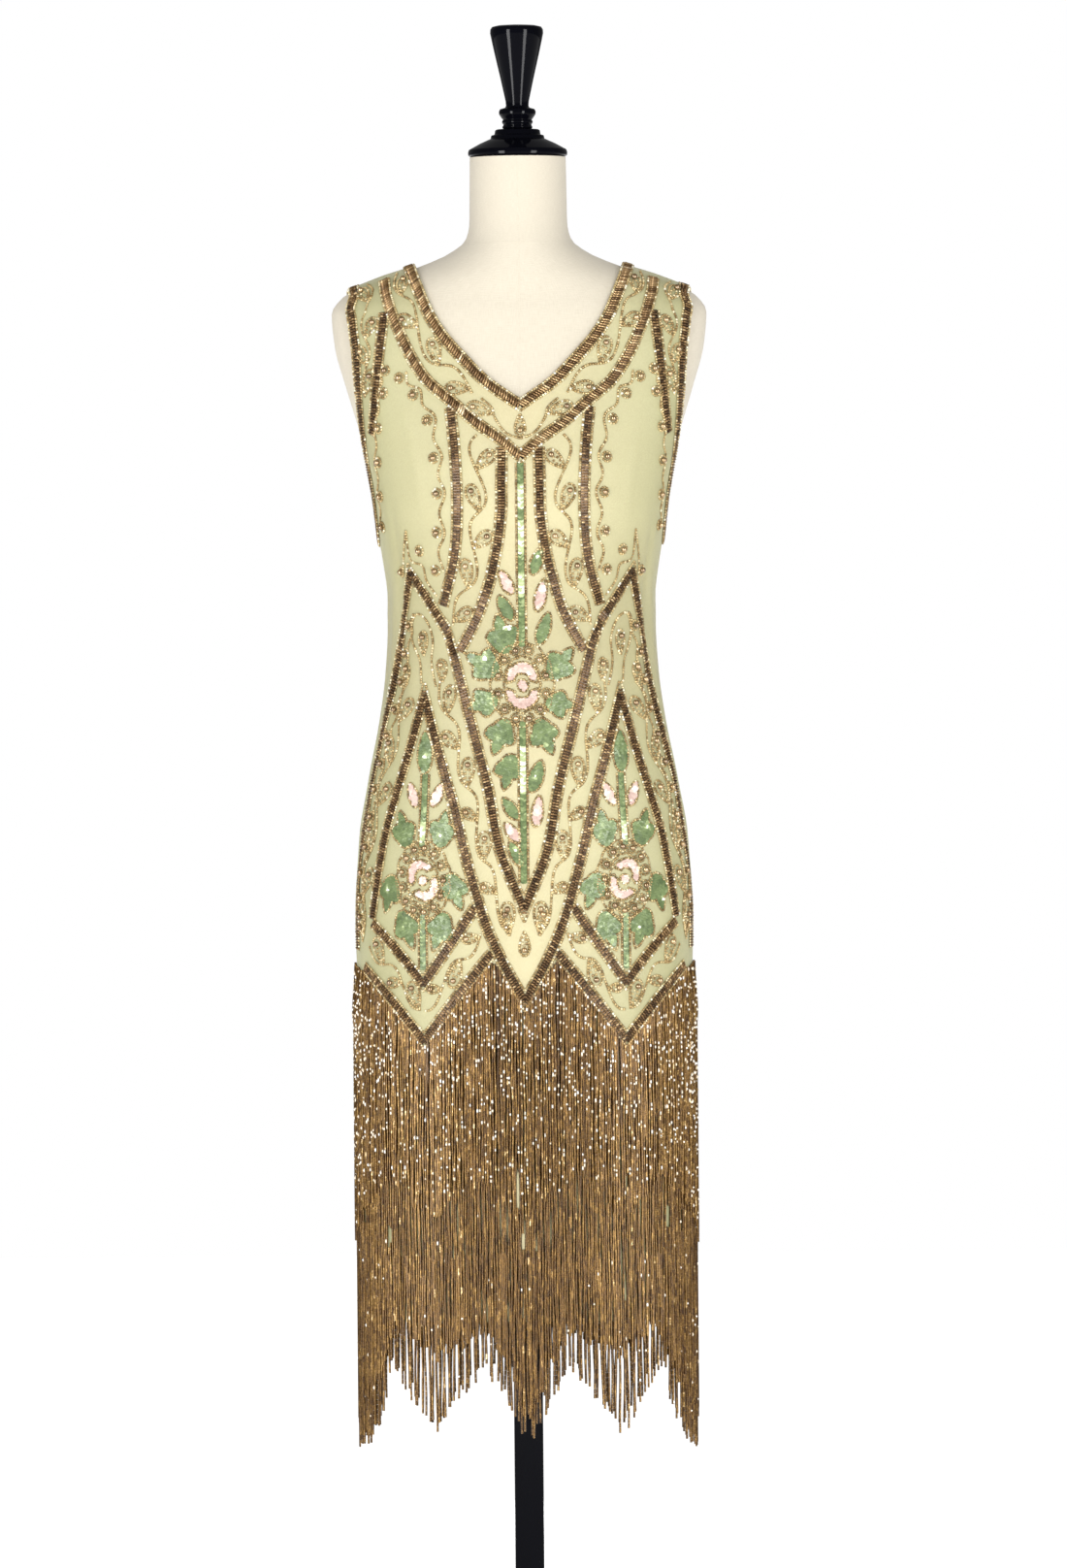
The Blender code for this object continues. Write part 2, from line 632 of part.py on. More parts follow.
def ribbon(name, face, places, outer_side, finish):
    """A beaded band: a flat strip with a crowned top, mitred where it turns, just off the cloth."""
    points = [cloth_point(face, *place) for place in places]
    ups = [normal(face, *place) for place in places]
    acrosses, widths = [], []
    for i, (point, up) in enumerate(zip(points, ups)):
        before = (point - points[i - 1]).normalized() if i > 0 else None
        after = (points[i + 1] - point).normalized() if i < len(points) - 1 else None
        before, after = before or after, after or before
        side_before, side_after = up.cross(before).normalized(), up.cross(after).normalized()
        across = (side_before + side_after).normalized()
        stretch = 1 / across.dot(side_before)
        turning_left = before.cross(after).dot(up) > 0
        left = stretch if turning_left else min(stretch, MITRE_LIMIT)
        right = min(stretch, MITRE_LIMIT) if turning_left else stretch
        acrosses.append(across)
        widths.append((left * BAND_WIDTH / 2, right * BAND_WIDTH / 2))
    lifts = settled_lifts(points, ups, acrosses, widths, outer_side)
    bm = bmesh.new()
    rings = []
    for point, up, across, (left, right), lift in zip(points, ups, acrosses, widths, lifts):
        low = point + up * lift
        high = low + up * BAND_THICKNESS
        rings.append(
            [
                bm.verts.new(low + across * left),
                bm.verts.new(high + across * left * BAND_CROWN),
                bm.verts.new(high - across * right * BAND_CROWN),
                bm.verts.new(low - across * right),
            ]
        )
    for a, b in zip(rings, rings[1:]):
        for k in range(4):
            bm.faces.new((a[k], a[(k + 1) % 4], b[(k + 1) % 4], b[k]))
    bm.faces.new(rings[0])
    bm.faces.new(list(reversed(rings[-1])))
    return link_mesh(name, bm, finish, smooth=False)


def chevron(face, side_leg, middle_leg):
    """A band from the left side seam up to its peak, down to the middle, and the same on the right."""
    def half(side):
        return joined_legs([leg_places(face, side, side_leg), leg_places(face, side, middle_leg)])

    return half(LEFT) + list(reversed(half(RIGHT)))[1:]


def neck_bands(face, word, outer_side, finish):
    """The band along the neckline, and the wider V below it."""
    def edge_half(side):
        return edge_band_places(face, side, neckline_edge(face), NECKLINE_BAND_STEPS, 1, 0.05, 0.97)

    tip_place = (0.0, NECKLINES[face][0].height - NECKLINE_BAND_TIP_DROP)
    neckline = [*edge_half(LEFT)[:-1], tip_place, *reversed(edge_half(RIGHT)[:-1])]
    ribbon(f"neckline_band_{word}", face, neckline, outer_side, finish)
    left, right = (leg_places(face, side, NECK_BAND[face]) for side in (LEFT, RIGHT))
    ribbon(f"yoke_band_{word}", face, [*left, *reversed(right[:-1])], outer_side, finish)


def side_bands(face, word, outer_side, finish):
    """The bands that a half wall carries on its own: armhole, strap, princess lines and diamond."""
    for side, hand in ((LEFT, "left"), (RIGHT, "right")):
        edge = armhole_edge(face)
        armhole = edge_band_places(face, side, edge, ARMHOLE_BAND_STEPS, -1, 0.03, 0.90)
        ribbon(f"armhole_band_{word}_{hand}", face, armhole, outer_side, finish)
        for label, spots in (
            ("strap_band", STRAP_BAND),
            ("princess_outer_band", OUTER_PRINCESS[face]),
            ("princess_inner_band", INNER_PRINCESS[face]),
        ):
            ribbon(f"{label}_{word}_{hand}", face, leg_places(face, side, spots), outer_side, finish)
        for label, legs in (("diamond_band", DIAMOND_LEGS), ("fringe_edge_band", FRINGE_EDGE_LEGS)):
            places = joined_legs([leg_places(face, side, leg) for leg in legs])
            ribbon(f"{label}_{word}_{hand}", face, places, outer_side, finish)


def skirt_run(face, height):
    """(distances, angles) round half a wall at one height, from the middle to the side seam."""
    angles = np.linspace(0.0, FRINGE_SIDE_ANGLE, EDGE_STEPS + 1)
    points = [cloth_point(face, float(a), height) for a in angles]
    run = [0.0]
    for a, b in zip(points, points[1:]):
        run.append(run[-1] + (b - a).length)
    return run, angles


def zigzag(face, spots, run, angles):
    """The height of a zigzag line as a function of the distance from the middle."""
    places = [np.interp(angle_at(face, s.across, s.height), angles, run) for s in spots]
    places[-1] = run[-1]
    heights = column(spots, "height")
    return lambda distance: float(np.interp(abs(distance), places, heights))


def fringe(name, face, strand_count, root_spots, root_drop, end_spots, finish, seed):
    """A fringe: a narrow wedge of a strip, and four-sided strands that grow from its lower edge."""
    run, angles = skirt_run(face, FRINGE_TIP.height)
    root = zigzag(face, root_spots, run, angles)
    end = zigzag(face, end_spots, run, angles)
    half = run[-1]
    pitch = 2 * half / (strand_count - 1 + STRAND_SHARE)
    chance = random.Random(seed)
    bm = bmesh.new()

    def ring(distance):
        angle = float(np.interp(abs(distance), run, angles)) * (1 if distance > 0 else -1)
        top = root(distance) - root_drop
        low = top - STRIP_HEIGHT
        return (
            angle,
            [
                bm.verts.new(cloth_point(face, angle, top, STRIP_LIFT + STRAND_THICKNESS / 2)),
                bm.verts.new(cloth_point(face, angle, low, STRIP_LIFT + STRAND_THICKNESS)),
                bm.verts.new(cloth_point(face, angle, low, STRIP_LIFT)),
            ],
        )

    rings = []
    for i in range(strand_count):
        start = -half + i * pitch
        rings += [ring(start), ring(start + pitch * STRAND_SHARE)]
    for i, ((_, a), (_, b)) in enumerate(zip(rings, rings[1:])):
        bm.faces.new((a[0], a[1], b[1], b[0]))
        bm.faces.new((a[2], a[0], b[0], b[2]))
        if i % 2:
            bm.faces.new((a[1], a[2], b[2], b[1]))
    bm.faces.new(rings[0][1])
    bm.faces.new(list(reversed(rings[-1][1])))
    for i in range(strand_count):
        (angle_a, a), (angle_b, b) = rings[2 * i], rings[2 * i + 1]
        middle = -half + (i + STRAND_SHARE / 2) * pitch
        tip = end(middle) + chance.uniform(-1, 1) * STRAND_JITTER
        last = [
            bm.verts.new(cloth_point(face, angle_a, tip, STRIP_LIFT + STRAND_THICKNESS)),
            bm.verts.new(cloth_point(face, angle_a, tip, STRIP_LIFT)),
            bm.verts.new(cloth_point(face, angle_b, tip, STRIP_LIFT)),
            bm.verts.new(cloth_point(face, angle_b, tip, STRIP_LIFT + STRAND_THICKNESS)),
        ]
        first = [a[1], a[2], b[2], b[1]]
        for k in range(4):
            bm.faces.new((first[k], first[(k + 1) % 4], last[(k + 1) % 4], last[k]))
        bm.faces.new(last)
    return link_mesh(name, bm, finish, smooth=False)


def form_body(finish):
    """The form's smooth torso and neck, one closed loft of level rings."""
    bm = bmesh.new()
    heights = np.concatenate(
        [
            np.linspace(FORM_TOP_HEIGHT, 1.5290, 3),
            np.linspace(1.5120, 1.4000, 11),
            np.linspace(1.3800, FORM_BOTTOM_HEIGHT, FORM_RINGS - 12),
        ]
    )
    rings = []
    for height in heights:
        ring = []
        for k in range(FORM_SIDES):
            turn = 2 * math.pi * k / FORM_SIDES
            face = FRONT if math.cos(turn) >= -1e-9 else BACK
            angle = math.asin(max(-1.0, min(1.0, math.sin(turn))))
            ring.append(bm.verts.new(surface(face, angle, float(height), dressed=False)))
        rings.append(ring)
    for a, b in zip(rings, rings[1:]):
        for k in range(FORM_SIDES):
            bm.faces.new((a[k], a[(k + 1) % FORM_SIDES], b[(k + 1) % FORM_SIDES], b[k]))
    bm.faces.new(rings[0])
    bm.faces.new(list(reversed(rings[-1])))
    return link_mesh("form_body", bm, finish)


def turned(name, profile, finish, sides=TURNED_SIDES):
    """A solid of revolution from a profile that starts and ends on the axis."""
    bm = bmesh.new()
    vertices = [bm.verts.new((row.radius, 0.0, row.height)) for row in profile]
    edges = [bm.edges.new(pair) for pair in zip(vertices, vertices[1:])]
    bmesh.ops.spin(
        bm, geom=vertices + edges, cent=(0, 0, 0), axis=(0, 0, 1), angle=2 * math.pi,
        steps=sides, use_merge=True,
    )
    bmesh.ops.remove_doubles(bm, verts=bm.verts, dist=1e-6)
    return link_mesh(name, bm, finish)


def pole(finish):
    """A square pole with eased edges, from the boss of the base to the underside of the form."""
    bottom = BASE_BOSS_TOP + PIECE_GAP
    top = FORM_BOTTOM_HEIGHT - PIECE_GAP
    bm = bmesh.new()
    bmesh.ops.create_cube(bm, size=1.0)
    bmesh.ops.scale(bm, vec=(POLE_SIDE, POLE_SIDE, top - bottom), verts=bm.verts)
    made = link_mesh("stand_pole", bm, finish, smooth=False)
    made.location.z = (top + bottom) / 2
    bevel = made.modifiers.new("eased edges", "BEVEL")
    bevel.width = POLE_EDGE_ROUNDING
    bevel.segments = 2
    return made


def base(finish):
    """A plain round base plate with a boss that carries the pole."""
    profile = [
        TurnedRow(0.0, 0.0),
        TurnedRow(BASE_RADIUS - BASE_EDGE, 0.0),
        TurnedRow(BASE_RADIUS, BASE_EDGE),
        TurnedRow(BASE_RADIUS, BASE_THICKNESS - BASE_EDGE),
        TurnedRow(BASE_RADIUS - BASE_EDGE, BASE_THICKNESS),
        TurnedRow(BASE_BOSS_RADIUS + BASE_EDGE, BASE_THICKNESS),
        TurnedRow(BASE_BOSS_RADIUS, BASE_THICKNESS + BASE_EDGE),
        TurnedRow(BASE_BOSS_RADIUS, BASE_BOSS_TOP - BASE_EDGE),
        TurnedRow(BASE_BOSS_RADIUS - BASE_EDGE, BASE_BOSS_TOP),
        TurnedRow(0.0, BASE_BOSS_TOP),
    ]
    return turned("stand_base", profile, finish, sides=36)


def main():
    for made in list(bpy.data.objects):
        bpy.data.objects.remove(made)
    cloth = material("pale green georgette", (0.62, 0.64, 0.36), 0.7)
    bronze = material("bronze bead band", (0.22, 0.12, 0.06), 0.35, 0.6)
    gold = material("gold bead fringe", (0.34, 0.20, 0.07), 0.35, 0.6)
    linen = material("cream linen", (0.82, 0.76, 0.65), 0.85)
    lacquer = material("black lacquer", (0.006, 0.006, 0.008), 0.12)

    form_body(linen)
    turned("form_cap", CAP_PROFILE, lacquer)
    turned("form_finial", FINIAL_PROFILE, lacquer)
    pole(lacquer)
    base(lacquer)
    for face, word in ((FRONT, "front"), (BACK, "back")):
        outer_side = dress_wall(f"dress_{word}", face, cloth)
        neck_bands(face, word, outer_side, bronze)
        side_bands(face, word, outer_side, bronze)
        outer = chevron(face, OUTER_CHEVRON_SIDE_LEG, OUTER_CHEVRON_MIDDLE_LEG)
        ribbon(f"outer_chevron_band_{word}", face, outer, outer_side, bronze)
        inner = chevron(face, INNER_CHEVRON_SIDE_LEG, INNER_CHEVRON_MIDDLE_LEG)
        ribbon(f"inner_chevron_band_{word}", face, inner, outer_side, bronze)
        fringe(
            f"upper_fringe_{word}", face, UPPER_STRANDS, UPPER_FRINGE_ROOTS, STRIP_DROP,
            UPPER_FRINGE_ENDS, gold, seed=11 + face,
        )
        hem_root = [Spot(0.0, HEM_HEIGHT), Spot(0.1750, HEM_HEIGHT)]
        fringe(
            f"hem_fringe_{word}", face, HEM_STRANDS, hem_root, -STRIP_DROP / 2,
            HEM_FRINGE_ENDS, gold, seed=21 + face,
        )


main()
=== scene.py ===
"""A beaded fringe dress on a limbless dress form with a pole stand: the looks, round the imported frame."""

import math
from collections import namedtuple

import bmesh
import bpy
import numpy as np
from mathutils import Matrix, Vector


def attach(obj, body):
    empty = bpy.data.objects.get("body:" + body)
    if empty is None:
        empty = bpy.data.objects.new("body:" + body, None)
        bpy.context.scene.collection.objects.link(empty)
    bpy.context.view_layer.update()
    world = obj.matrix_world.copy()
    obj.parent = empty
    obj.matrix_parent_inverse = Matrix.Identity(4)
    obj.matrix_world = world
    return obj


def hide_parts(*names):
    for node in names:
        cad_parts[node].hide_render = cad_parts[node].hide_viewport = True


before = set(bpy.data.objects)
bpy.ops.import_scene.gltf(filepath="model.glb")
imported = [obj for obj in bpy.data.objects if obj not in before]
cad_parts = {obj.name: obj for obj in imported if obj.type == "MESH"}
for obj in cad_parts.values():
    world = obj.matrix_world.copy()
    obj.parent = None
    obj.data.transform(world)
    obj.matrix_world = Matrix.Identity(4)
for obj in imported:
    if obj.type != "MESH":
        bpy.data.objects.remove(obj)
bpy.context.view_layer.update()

# Camera, floor and light.
# A long lens at chest height looks straight at the front of the dress. The floor is a plain white disc under
# a white sky. Three tall soft boxes, one of them behind, light the cloth, and two reflectors show in gloss.
METRES_PER_PIXEL = 0.00103
PHOTO_HEIGHT = 1616
CAMERA_DISTANCE = 16.0
CAMERA_AIM = Vector((0.0110, 0.0, 0.9340))
CAMERA_ROLL = math.radians(0.5)
SENSOR_SIZE = 36.0
SKY_LIGHT, SKY_IN_GLOSS, SKY_SEEN = 0.68, 0.22, 1.0
LIGHT_AIM = Vector((0.0, 0.0, 1.05))
FLOOR_RADIUS, FLOOR_DROP, FLOOR_GLOW = 14.0, 0.0005, 0.52
WHITE = (1.0, 1.0, 1.0, 1.0)

camera_data = bpy.data.cameras.new("camera")
camera_data.sensor_width = SENSOR_SIZE
camera_data.lens = SENSOR_SIZE * CAMERA_DISTANCE / (PHOTO_HEIGHT * METRES_PER_PIXEL)
camera = bpy.data.objects.new("camera", camera_data)
camera.location = CAMERA_AIM - Vector((0.0, CAMERA_DISTANCE, 0.0))
upright = Matrix.Rotation(math.pi / 2, 3, "X")
camera.rotation_euler = (Matrix.Rotation(CAMERA_ROLL, 3, "Y") @ upright).to_euler()
bpy.context.scene.collection.objects.link(camera)
bpy.context.scene.camera = camera
bpy.context.scene.view_settings.view_transform = "Standard"

world = bpy.data.worlds.new("white studio")
world.use_nodes = True
sky = world.node_tree.nodes["Background"]
sky.inputs["Color"].default_value = WHITE
rays = world.node_tree.nodes.new("ShaderNodeLightPath")
strength = sky.inputs["Strength"]
for ray, level in (("Is Glossy Ray", SKY_IN_GLOSS), ("Is Camera Ray", SKY_SEEN)):
    step = world.node_tree.nodes.new("ShaderNodeMath")
    step.operation = "MULTIPLY_ADD"
    step.inputs[1].default_value = level - SKY_LIGHT
    step.inputs[2].default_value = SKY_LIGHT
    world.node_tree.links.new(rays.outputs[ray], step.inputs[0])
    world.node_tree.links.new(step.outputs["Value"], strength)
    strength = step.inputs[2]
bpy.context.scene.world = world

SoftBox = namedtuple("SoftBox", "name place width height power in_gloss")
for box in (
    SoftBox("soft box behind", (0.0, 3.60, 1.30), 0.90, 2.0, 50.0, False),
    SoftBox("soft box left", (-1.20, -3.40, 1.30), 0.60, 2.0, 54.0, False),
    SoftBox("soft box right", (1.20, -3.40, 1.30), 0.60, 2.0, 48.0, False),
    SoftBox("reflector left", (-1.93, -2.50, 1.20), 0.75, 2.3, 170.0, True),
    SoftBox("reflector right", (1.93, -2.50, 1.20), 0.75, 2.3, 150.0, True),
):
    light_data = bpy.data.lights.new(box.name, "AREA")
    light_data.shape = "RECTANGLE"
    light_data.size, light_data.size_y, light_data.energy = box.width, box.height, box.power
    light = bpy.data.objects.new(box.name, light_data)
    light.visible_diffuse, light.visible_glossy, light.visible_camera = not box.in_gloss, box.in_gloss, False
    light.location = box.place
    light.rotation_euler = (LIGHT_AIM - light.location).to_track_quat("-Z", "Y").to_euler()
    bpy.context.scene.collection.objects.link(light)


class Value:
    """A socket whose arithmetic adds Math nodes, so that shader maths reads as an expression."""

    def __init__(self, finish, socket):
        self.finish, self.socket = finish, socket

    def maths(self, operation, first, second):
        return self.finish.node("ShaderNodeMath", {"operation": operation}, {0: first, 1: second})

    def __add__(self, other):
        return self.maths("ADD", self, other)

    def __sub__(self, other):
        return self.maths("SUBTRACT", self, other)

    def __rsub__(self, other):
        return self.maths("SUBTRACT", other, self)

    def __mul__(self, other):
        return self.maths("MULTIPLY", self, other)

    __radd__, __rmul__ = __add__, __mul__


class Finish:
    """A material round one Principled shader. Its fixed values are set on the shader's own sockets."""

    def __init__(self, name, colour, fixed):
        self.material = bpy.data.materials.new(name)
        self.material.use_nodes = True
        self.tree = self.material.node_tree
        self.shader = self.tree.nodes["Principled BSDF"]
        for socket, value in {"Base Color": (*colour, 1.0), **fixed}.items():
            self.shader.inputs[socket].default_value = value

    def node(self, kind, settings=None, inputs=None, output=0):
        """Adds a node, sets it up, links or sets its sockets, and returns one output."""
        added = self.tree.nodes.new(kind)
        for setting, value in (settings or {}).items():
            if setting == "stops":
                elements = added.color_ramp.elements
                for place, tint in value[len(elements):]:
                    elements.new(place)
                for element, (place, tint) in zip(elements, value):
                    element.position, element.color = place, (*tint, 1.0)
            else:
                setattr(added, setting, value)
        for socket, value in (inputs or {}).items():
            self.join(value, added.inputs[socket])
        return Value(self, added.outputs[output])

    def join(self, value, socket):
        if isinstance(value, Value):
            self.tree.links.new(value.socket, socket)
        else:
            socket.default_value = value

    def shade(self, socket, value):
        """Links a value that changes over the surface to the shader."""
        self.join(value, self.shader.inputs[socket])

    def place(self):
        return self.node("ShaderNodeTexCoord", output="Object")

    def noise(self, scale, detail=2.0, stretch=None, vector=None):
        """Noise with features 1 / scale metres wide, from 0 to 1."""
        vector = vector or self.place()
        if stretch:
            vector = self.node("ShaderNodeMapping", {}, {"Vector": vector, "Scale": stretch})
        return self.node("ShaderNodeTexNoise", {}, {"Vector": vector, "Scale": scale, "Detail": detail})

    def mixed(self, factor, first, second):
        made = self.node("ShaderNodeMix", {"data_type": "RGBA"}, {"Factor": factor}, output=2)
        for index, tint in ((6, first), (7, second)):
            self.join(tint if isinstance(tint, Value) else (*tint, 1.0), made.socket.node.inputs[index])
        return made

    def bump(self, height, distance):
        heights = {"Height": height, "Distance": distance, "Strength": 1.0}
        self.shade("Normal", self.node("ShaderNodeBump", {}, heights, output="Normal"))


def srgb(red, green, blue):
    """A colour given as it looks on screen, 0 to 255, in the renderer's own linear numbers."""
    return tuple(((c / 255 + 0.055) / 1.055) ** 2.4 if c > 10 else c / 3295 for c in (red, green, blue))


def shown(name, mesh, finish):
    """An object of a mesh, in the scene."""
    mesh.materials.append(finish.material)
    made = bpy.data.objects.new(name, mesh)
    bpy.context.scene.collection.objects.link(made)
    return made


def linked(name, bm, finish, smooth=True):
    """An object of a bmesh, in the scene."""
    mesh = bpy.data.meshes.new(name)
    bm.to_mesh(mesh)
    bm.free()
    if smooth:
        mesh.shade_smooth()
    return shown(name, mesh, finish)


floor_finish = Finish(
    "white floor", (0.93, 0.93, 0.92),
    {"Emission Color": WHITE, "Emission Strength": FLOOR_GLOW, "Specular IOR Level": 0.0},
)
floor_finish.shade("Roughness", floor_finish.noise(3.0) * 0.1 + 0.65)
bm = bmesh.new()
bmesh.ops.create_circle(bm, cap_ends=True, segments=64, radius=FLOOR_RADIUS)
floor = linked("floor", bm, floor_finish, smooth=False)
floor.location.z = -FLOOR_DROP

# Stand: base plate and pole.
# A plain round plate carries a square pole with eased edges. Both are wood under gloss black lacquer, and the
# pole is screwed into the boss of the plate from below. Profiles are rows of radius and height in millimetres.
BASE_PROFILE = (
    (0, 0), (186, 0), (190, 3.5), (190, 10.5), (187, 14), (40, 14.2), (34, 16.5), (32, 22), (32, 30),
    (28.5, 34), (0, 34),
)
POLE_SIDE, POLE_EDGE = 0.031, 0.0035
POLE_BOTTOM, POLE_TOP = 0.0343, 0.6797
TURNED_SIDES = 96
SHARP_TURN = math.radians(18)

lacquer = Finish("black lacquer", (0.0016, 0.0015, 0.0015), {"IOR": 1.14})
grain = lacquer.noise(22.0, 6.0, stretch=(1.0, 1.0, 0.12))
lacquer.shade("Base Color", lacquer.mixed(grain, (0.0010, 0.0010, 0.0014), (0.0030, 0.0032, 0.0060)))
lacquer.shade("Roughness", lacquer.noise(9.0, 4.0) * 0.06 + 0.05)
lacquer.bump(lacquer.noise(60.0, 2.0), 0.00006)


def fitted(piece, slot, *nodes):
    """Fixes a piece to the frame: attaches it to the root body and hides the CAD nodes that it stands for. The
    slot argument is not used.
    """
    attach(piece, "root")
    if nodes:
        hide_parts(*nodes)
    return piece


def turned(name, profile, edge, node):
    """A lacquered solid of revolution, with its sharp turns rounded."""
    bm = bmesh.new()
    corners = [bm.verts.new((radius / 1000, 0.0, height / 1000)) for radius, height in profile]
    edges = [bm.edges.new(pair) for pair in zip(corners, corners[1:])]
    bmesh.ops.spin(
        bm, geom=corners + edges, cent=(0, 0, 0), axis=(0, 0, 1), angle=2 * math.pi, steps=TURNED_SIDES,
        use_merge=True,
    )
    bmesh.ops.remove_doubles(bm, verts=bm.verts, dist=1e-6)
    bmesh.ops.recalc_face_normals(bm, faces=bm.faces)
    sharp = [e for e in bm.edges if len(e.link_faces) == 2 and e.calc_face_angle() > SHARP_TURN]
    bmesh.ops.bevel(
        bm, geom=sharp, offset=edge, segments=3, profile=0.5, affect="EDGES", material=-1, clamp_overlap=True
    )
    fitted(linked(name, bm, lacquer), "black_lacquer", node)


turned("base_plate", BASE_PROFILE, 0.0008, "stand_base")

bm = bmesh.new()
bmesh.ops.create_cube(bm, size=1.0)
bmesh.ops.scale(bm, vec=(POLE_SIDE, POLE_SIDE, POLE_TOP - POLE_BOTTOM), verts=bm.verts)
bmesh.ops.translate(bm, vec=(0, 0, (POLE_TOP + POLE_BOTTOM) / 2), verts=bm.verts)
bmesh.ops.bevel(bm, geom=bm.edges[:], offset=POLE_EDGE, segments=4, profile=0.5, affect="EDGES", material=-1)
pole = linked("pole", bm, lacquer)
pole.data.set_sharp_from_angle(angle=math.radians(35))
fitted(pole, "black_lacquer", "stand_pole")

# Torso of the dress form.
# A padded shell with a short neck and rounded arm plates, covered with cream linen. The linen is cut in panels
# that meet in flat seams. Rows of sizes are in millimetres. Taper, a section's squareness, is in thousandths.
FRONT, BACK = 1, -1
LEFT, RIGHT = -1, 1
WALLS = ((FRONT, "front"), (BACK, "back"))


def in_metres(kind, *rows):
    """Named rows in metres of rows of sizes in millimetres."""
    return [kind(*(size / 1000 for size in row)) for row in rows]


Section = namedtuple("Section", "height half_width front_depth back_depth taper")
FORM_SECTIONS = in_metres(
    Section,
    (1599.2, 51, 55, 52, 500), (1560, 51.5, 55.5, 53, 500), (1529, 52, 57.5, 55, 500),
    (1512, 56, 61, 58.5, 540), (1498, 73, 64, 62.5, 620), (1484, 105, 67, 68, 740), (1470, 148, 70, 75, 800),
    (1452, 187, 74, 83, 720), (1434, 199, 80, 89.5, 600), (1400, 196, 89, 97, 500),
    (1355, 184, 101, 103, 460), (1310, 170.5, 115, 104.5, 450), (1265, 158, 125, 102, 440),
    (1235, 150, 126, 98.5, 440), (1200, 142.7, 118, 94, 450), (1150, 133.8, 102.8, 88, 470),
    (1105, 126.2, 95.3, 85, 490), (1050, 133, 97, 92, 480), (1000, 143.5, 101, 101, 470),
    (940, 157.5, 105, 109.5, 460), (880, 166.8, 107, 114.5, 460), (820, 168, 106, 112, 460),
    (740, 163, 102, 104, 470), (680, 157, 97, 97, 480),
)
# How far the cloth stands off the form: it hangs from the bust and the hips.
Ease = namedtuple("Ease", "height side front back")
DRESS_EASE = in_metres(
    Ease,
    (1520, 0, 0, 0), (1310, 0, 0, 0), (1265, 1, 1.5, 2), (1197, 5.2, 7.5, 6), (1148, 6.3, 14, 9),
    (1107, 12.7, 18, 12), (1045, 8.5, 15, 10), (983, 4.5, 10, 7), (922, 3, 7.5, 6), (870, 4.5, 7.5, 6.5),
    (798, 8.5, 9.5, 10), (736, 12, 12.5, 15), (680, 17, 17.5, 21), (367.5, 17, 18.5, 22),
)
# Soft upright folds of the cloth, in metres. around is degrees from the middle of the front or back, and depth
# is how far the ridge stands out. The wide ones are the hang between bust and hip, the narrow ones creases.
Fold = namedtuple("Fold", "around top bottom spread depth")
FOLDS = [Fold(*row) for row in (
    (74, 1.19, 0.9, 8, 0.003), (58, 1.165, 0.96, 7, 0.0022), (-70, 1.19, 0.92, 8, 0.0028),
    (-54, 1.15, 0.97, 7, 0.002), (66, 1.24, 1.06, 3.5, -0.0022), (-62, 1.255, 1.08, 3.5, -0.002),
    (47, 1.33, 1.19, 3, 0.0013), (-43, 1.345, 1.21, 3, 0.0014), (36, 1.15, 1.03, 3, -0.0015),
    (-33, 1.14, 1.01, 3.5, -0.0017), (12, 1.18, 1.09, 4, 0.0007), (-15, 1.17, 1.08, 4, 0.0008),
    (82, 1.08, 0.8, 4, -0.0024), (-81, 1.05, 0.78, 4, -0.0022), (30, 0.94, 0.86, 4, 0.0006),
    (-28, 0.95, 0.85, 4, 0.0006),
)]
CLOTH_LIFT = 0.0035
SEAM_GAP = 0.0003
SMALL_TURN = math.radians(0.5)
SMALL_RISE = 0.0005
SLOPE_LIMIT = math.radians(88.0)
SEAM_TURN = math.radians(86.0)
DENSE_HEIGHTS = np.linspace(0.20, 1.75, 6201)
FORM_COLUMNS, FORM_ROWS = 96, 150
FORM_TOP, FORM_BOTTOM = 1.5992, 0.6800
FORM_GIRTH = 0.95
dense_tables = {}


def smooth_values(places, values, wanted):
    """A smooth curve through (places, values), with no bump between two rows. It holds past the ends."""
    order = np.argsort(places)
    p, v = np.array(places, float)[order], np.array(values, float)[order]
    wanted = np.clip(wanted, p[0], p[-1])
    slopes = np.diff(v) / np.diff(p)
    product = slopes[:-1] * slopes[1:]
    total = np.where(product > 0, slopes[:-1] + slopes[1:], 1.0)
    inner = np.where(product > 0, 2 * product / total, 0.0)
    tangents = np.concatenate([slopes[:1], inner, slopes[-1:]])
    i = np.clip(np.searchsorted(p, wanted, side="right") - 1, 0, len(p) - 2)
    span = p[i + 1] - p[i]
    t = (wanted - p[i]) / span
    return (
        (2 * t**3 - 3 * t**2 + 1) * v[i] + (t**3 - 2 * t**2 + t) * span * tangents[i]
        + (3 * t**2 - 2 * t**3) * v[i + 1] + (t**3 - t**2) * span * tangents[i + 1]
    )


def from_table(rows, name, height):
    """A table's column at any height, by way of a dense copy of its smooth curve."""
    key = (rows[0], name)
    if key not in dense_tables:
        places = [row.height for row in rows]
        dense_tables[key] = smooth_values(places, [getattr(row, name) for row in rows], DENSE_HEIGHTS)
    return np.interp(height, DENSE_HEIGHTS, dense_tables[key])


def section_size(face, height, dressed=True):
    """(half width, depth, taper) of one face of the form, or of the cloth round it, at each height."""
    word = "front" if face == FRONT else "back"
    half_width = from_table(FORM_SECTIONS, "half_width", height)
    depth = from_table(FORM_SECTIONS, f"{word}_depth", height)
    if dressed:
        half_width = half_width + from_table(DRESS_EASE, "side", height)
        depth = depth + from_table(DRESS_EASE, word, height)
    return half_width, depth, from_table(FORM_SECTIONS, "taper", height)


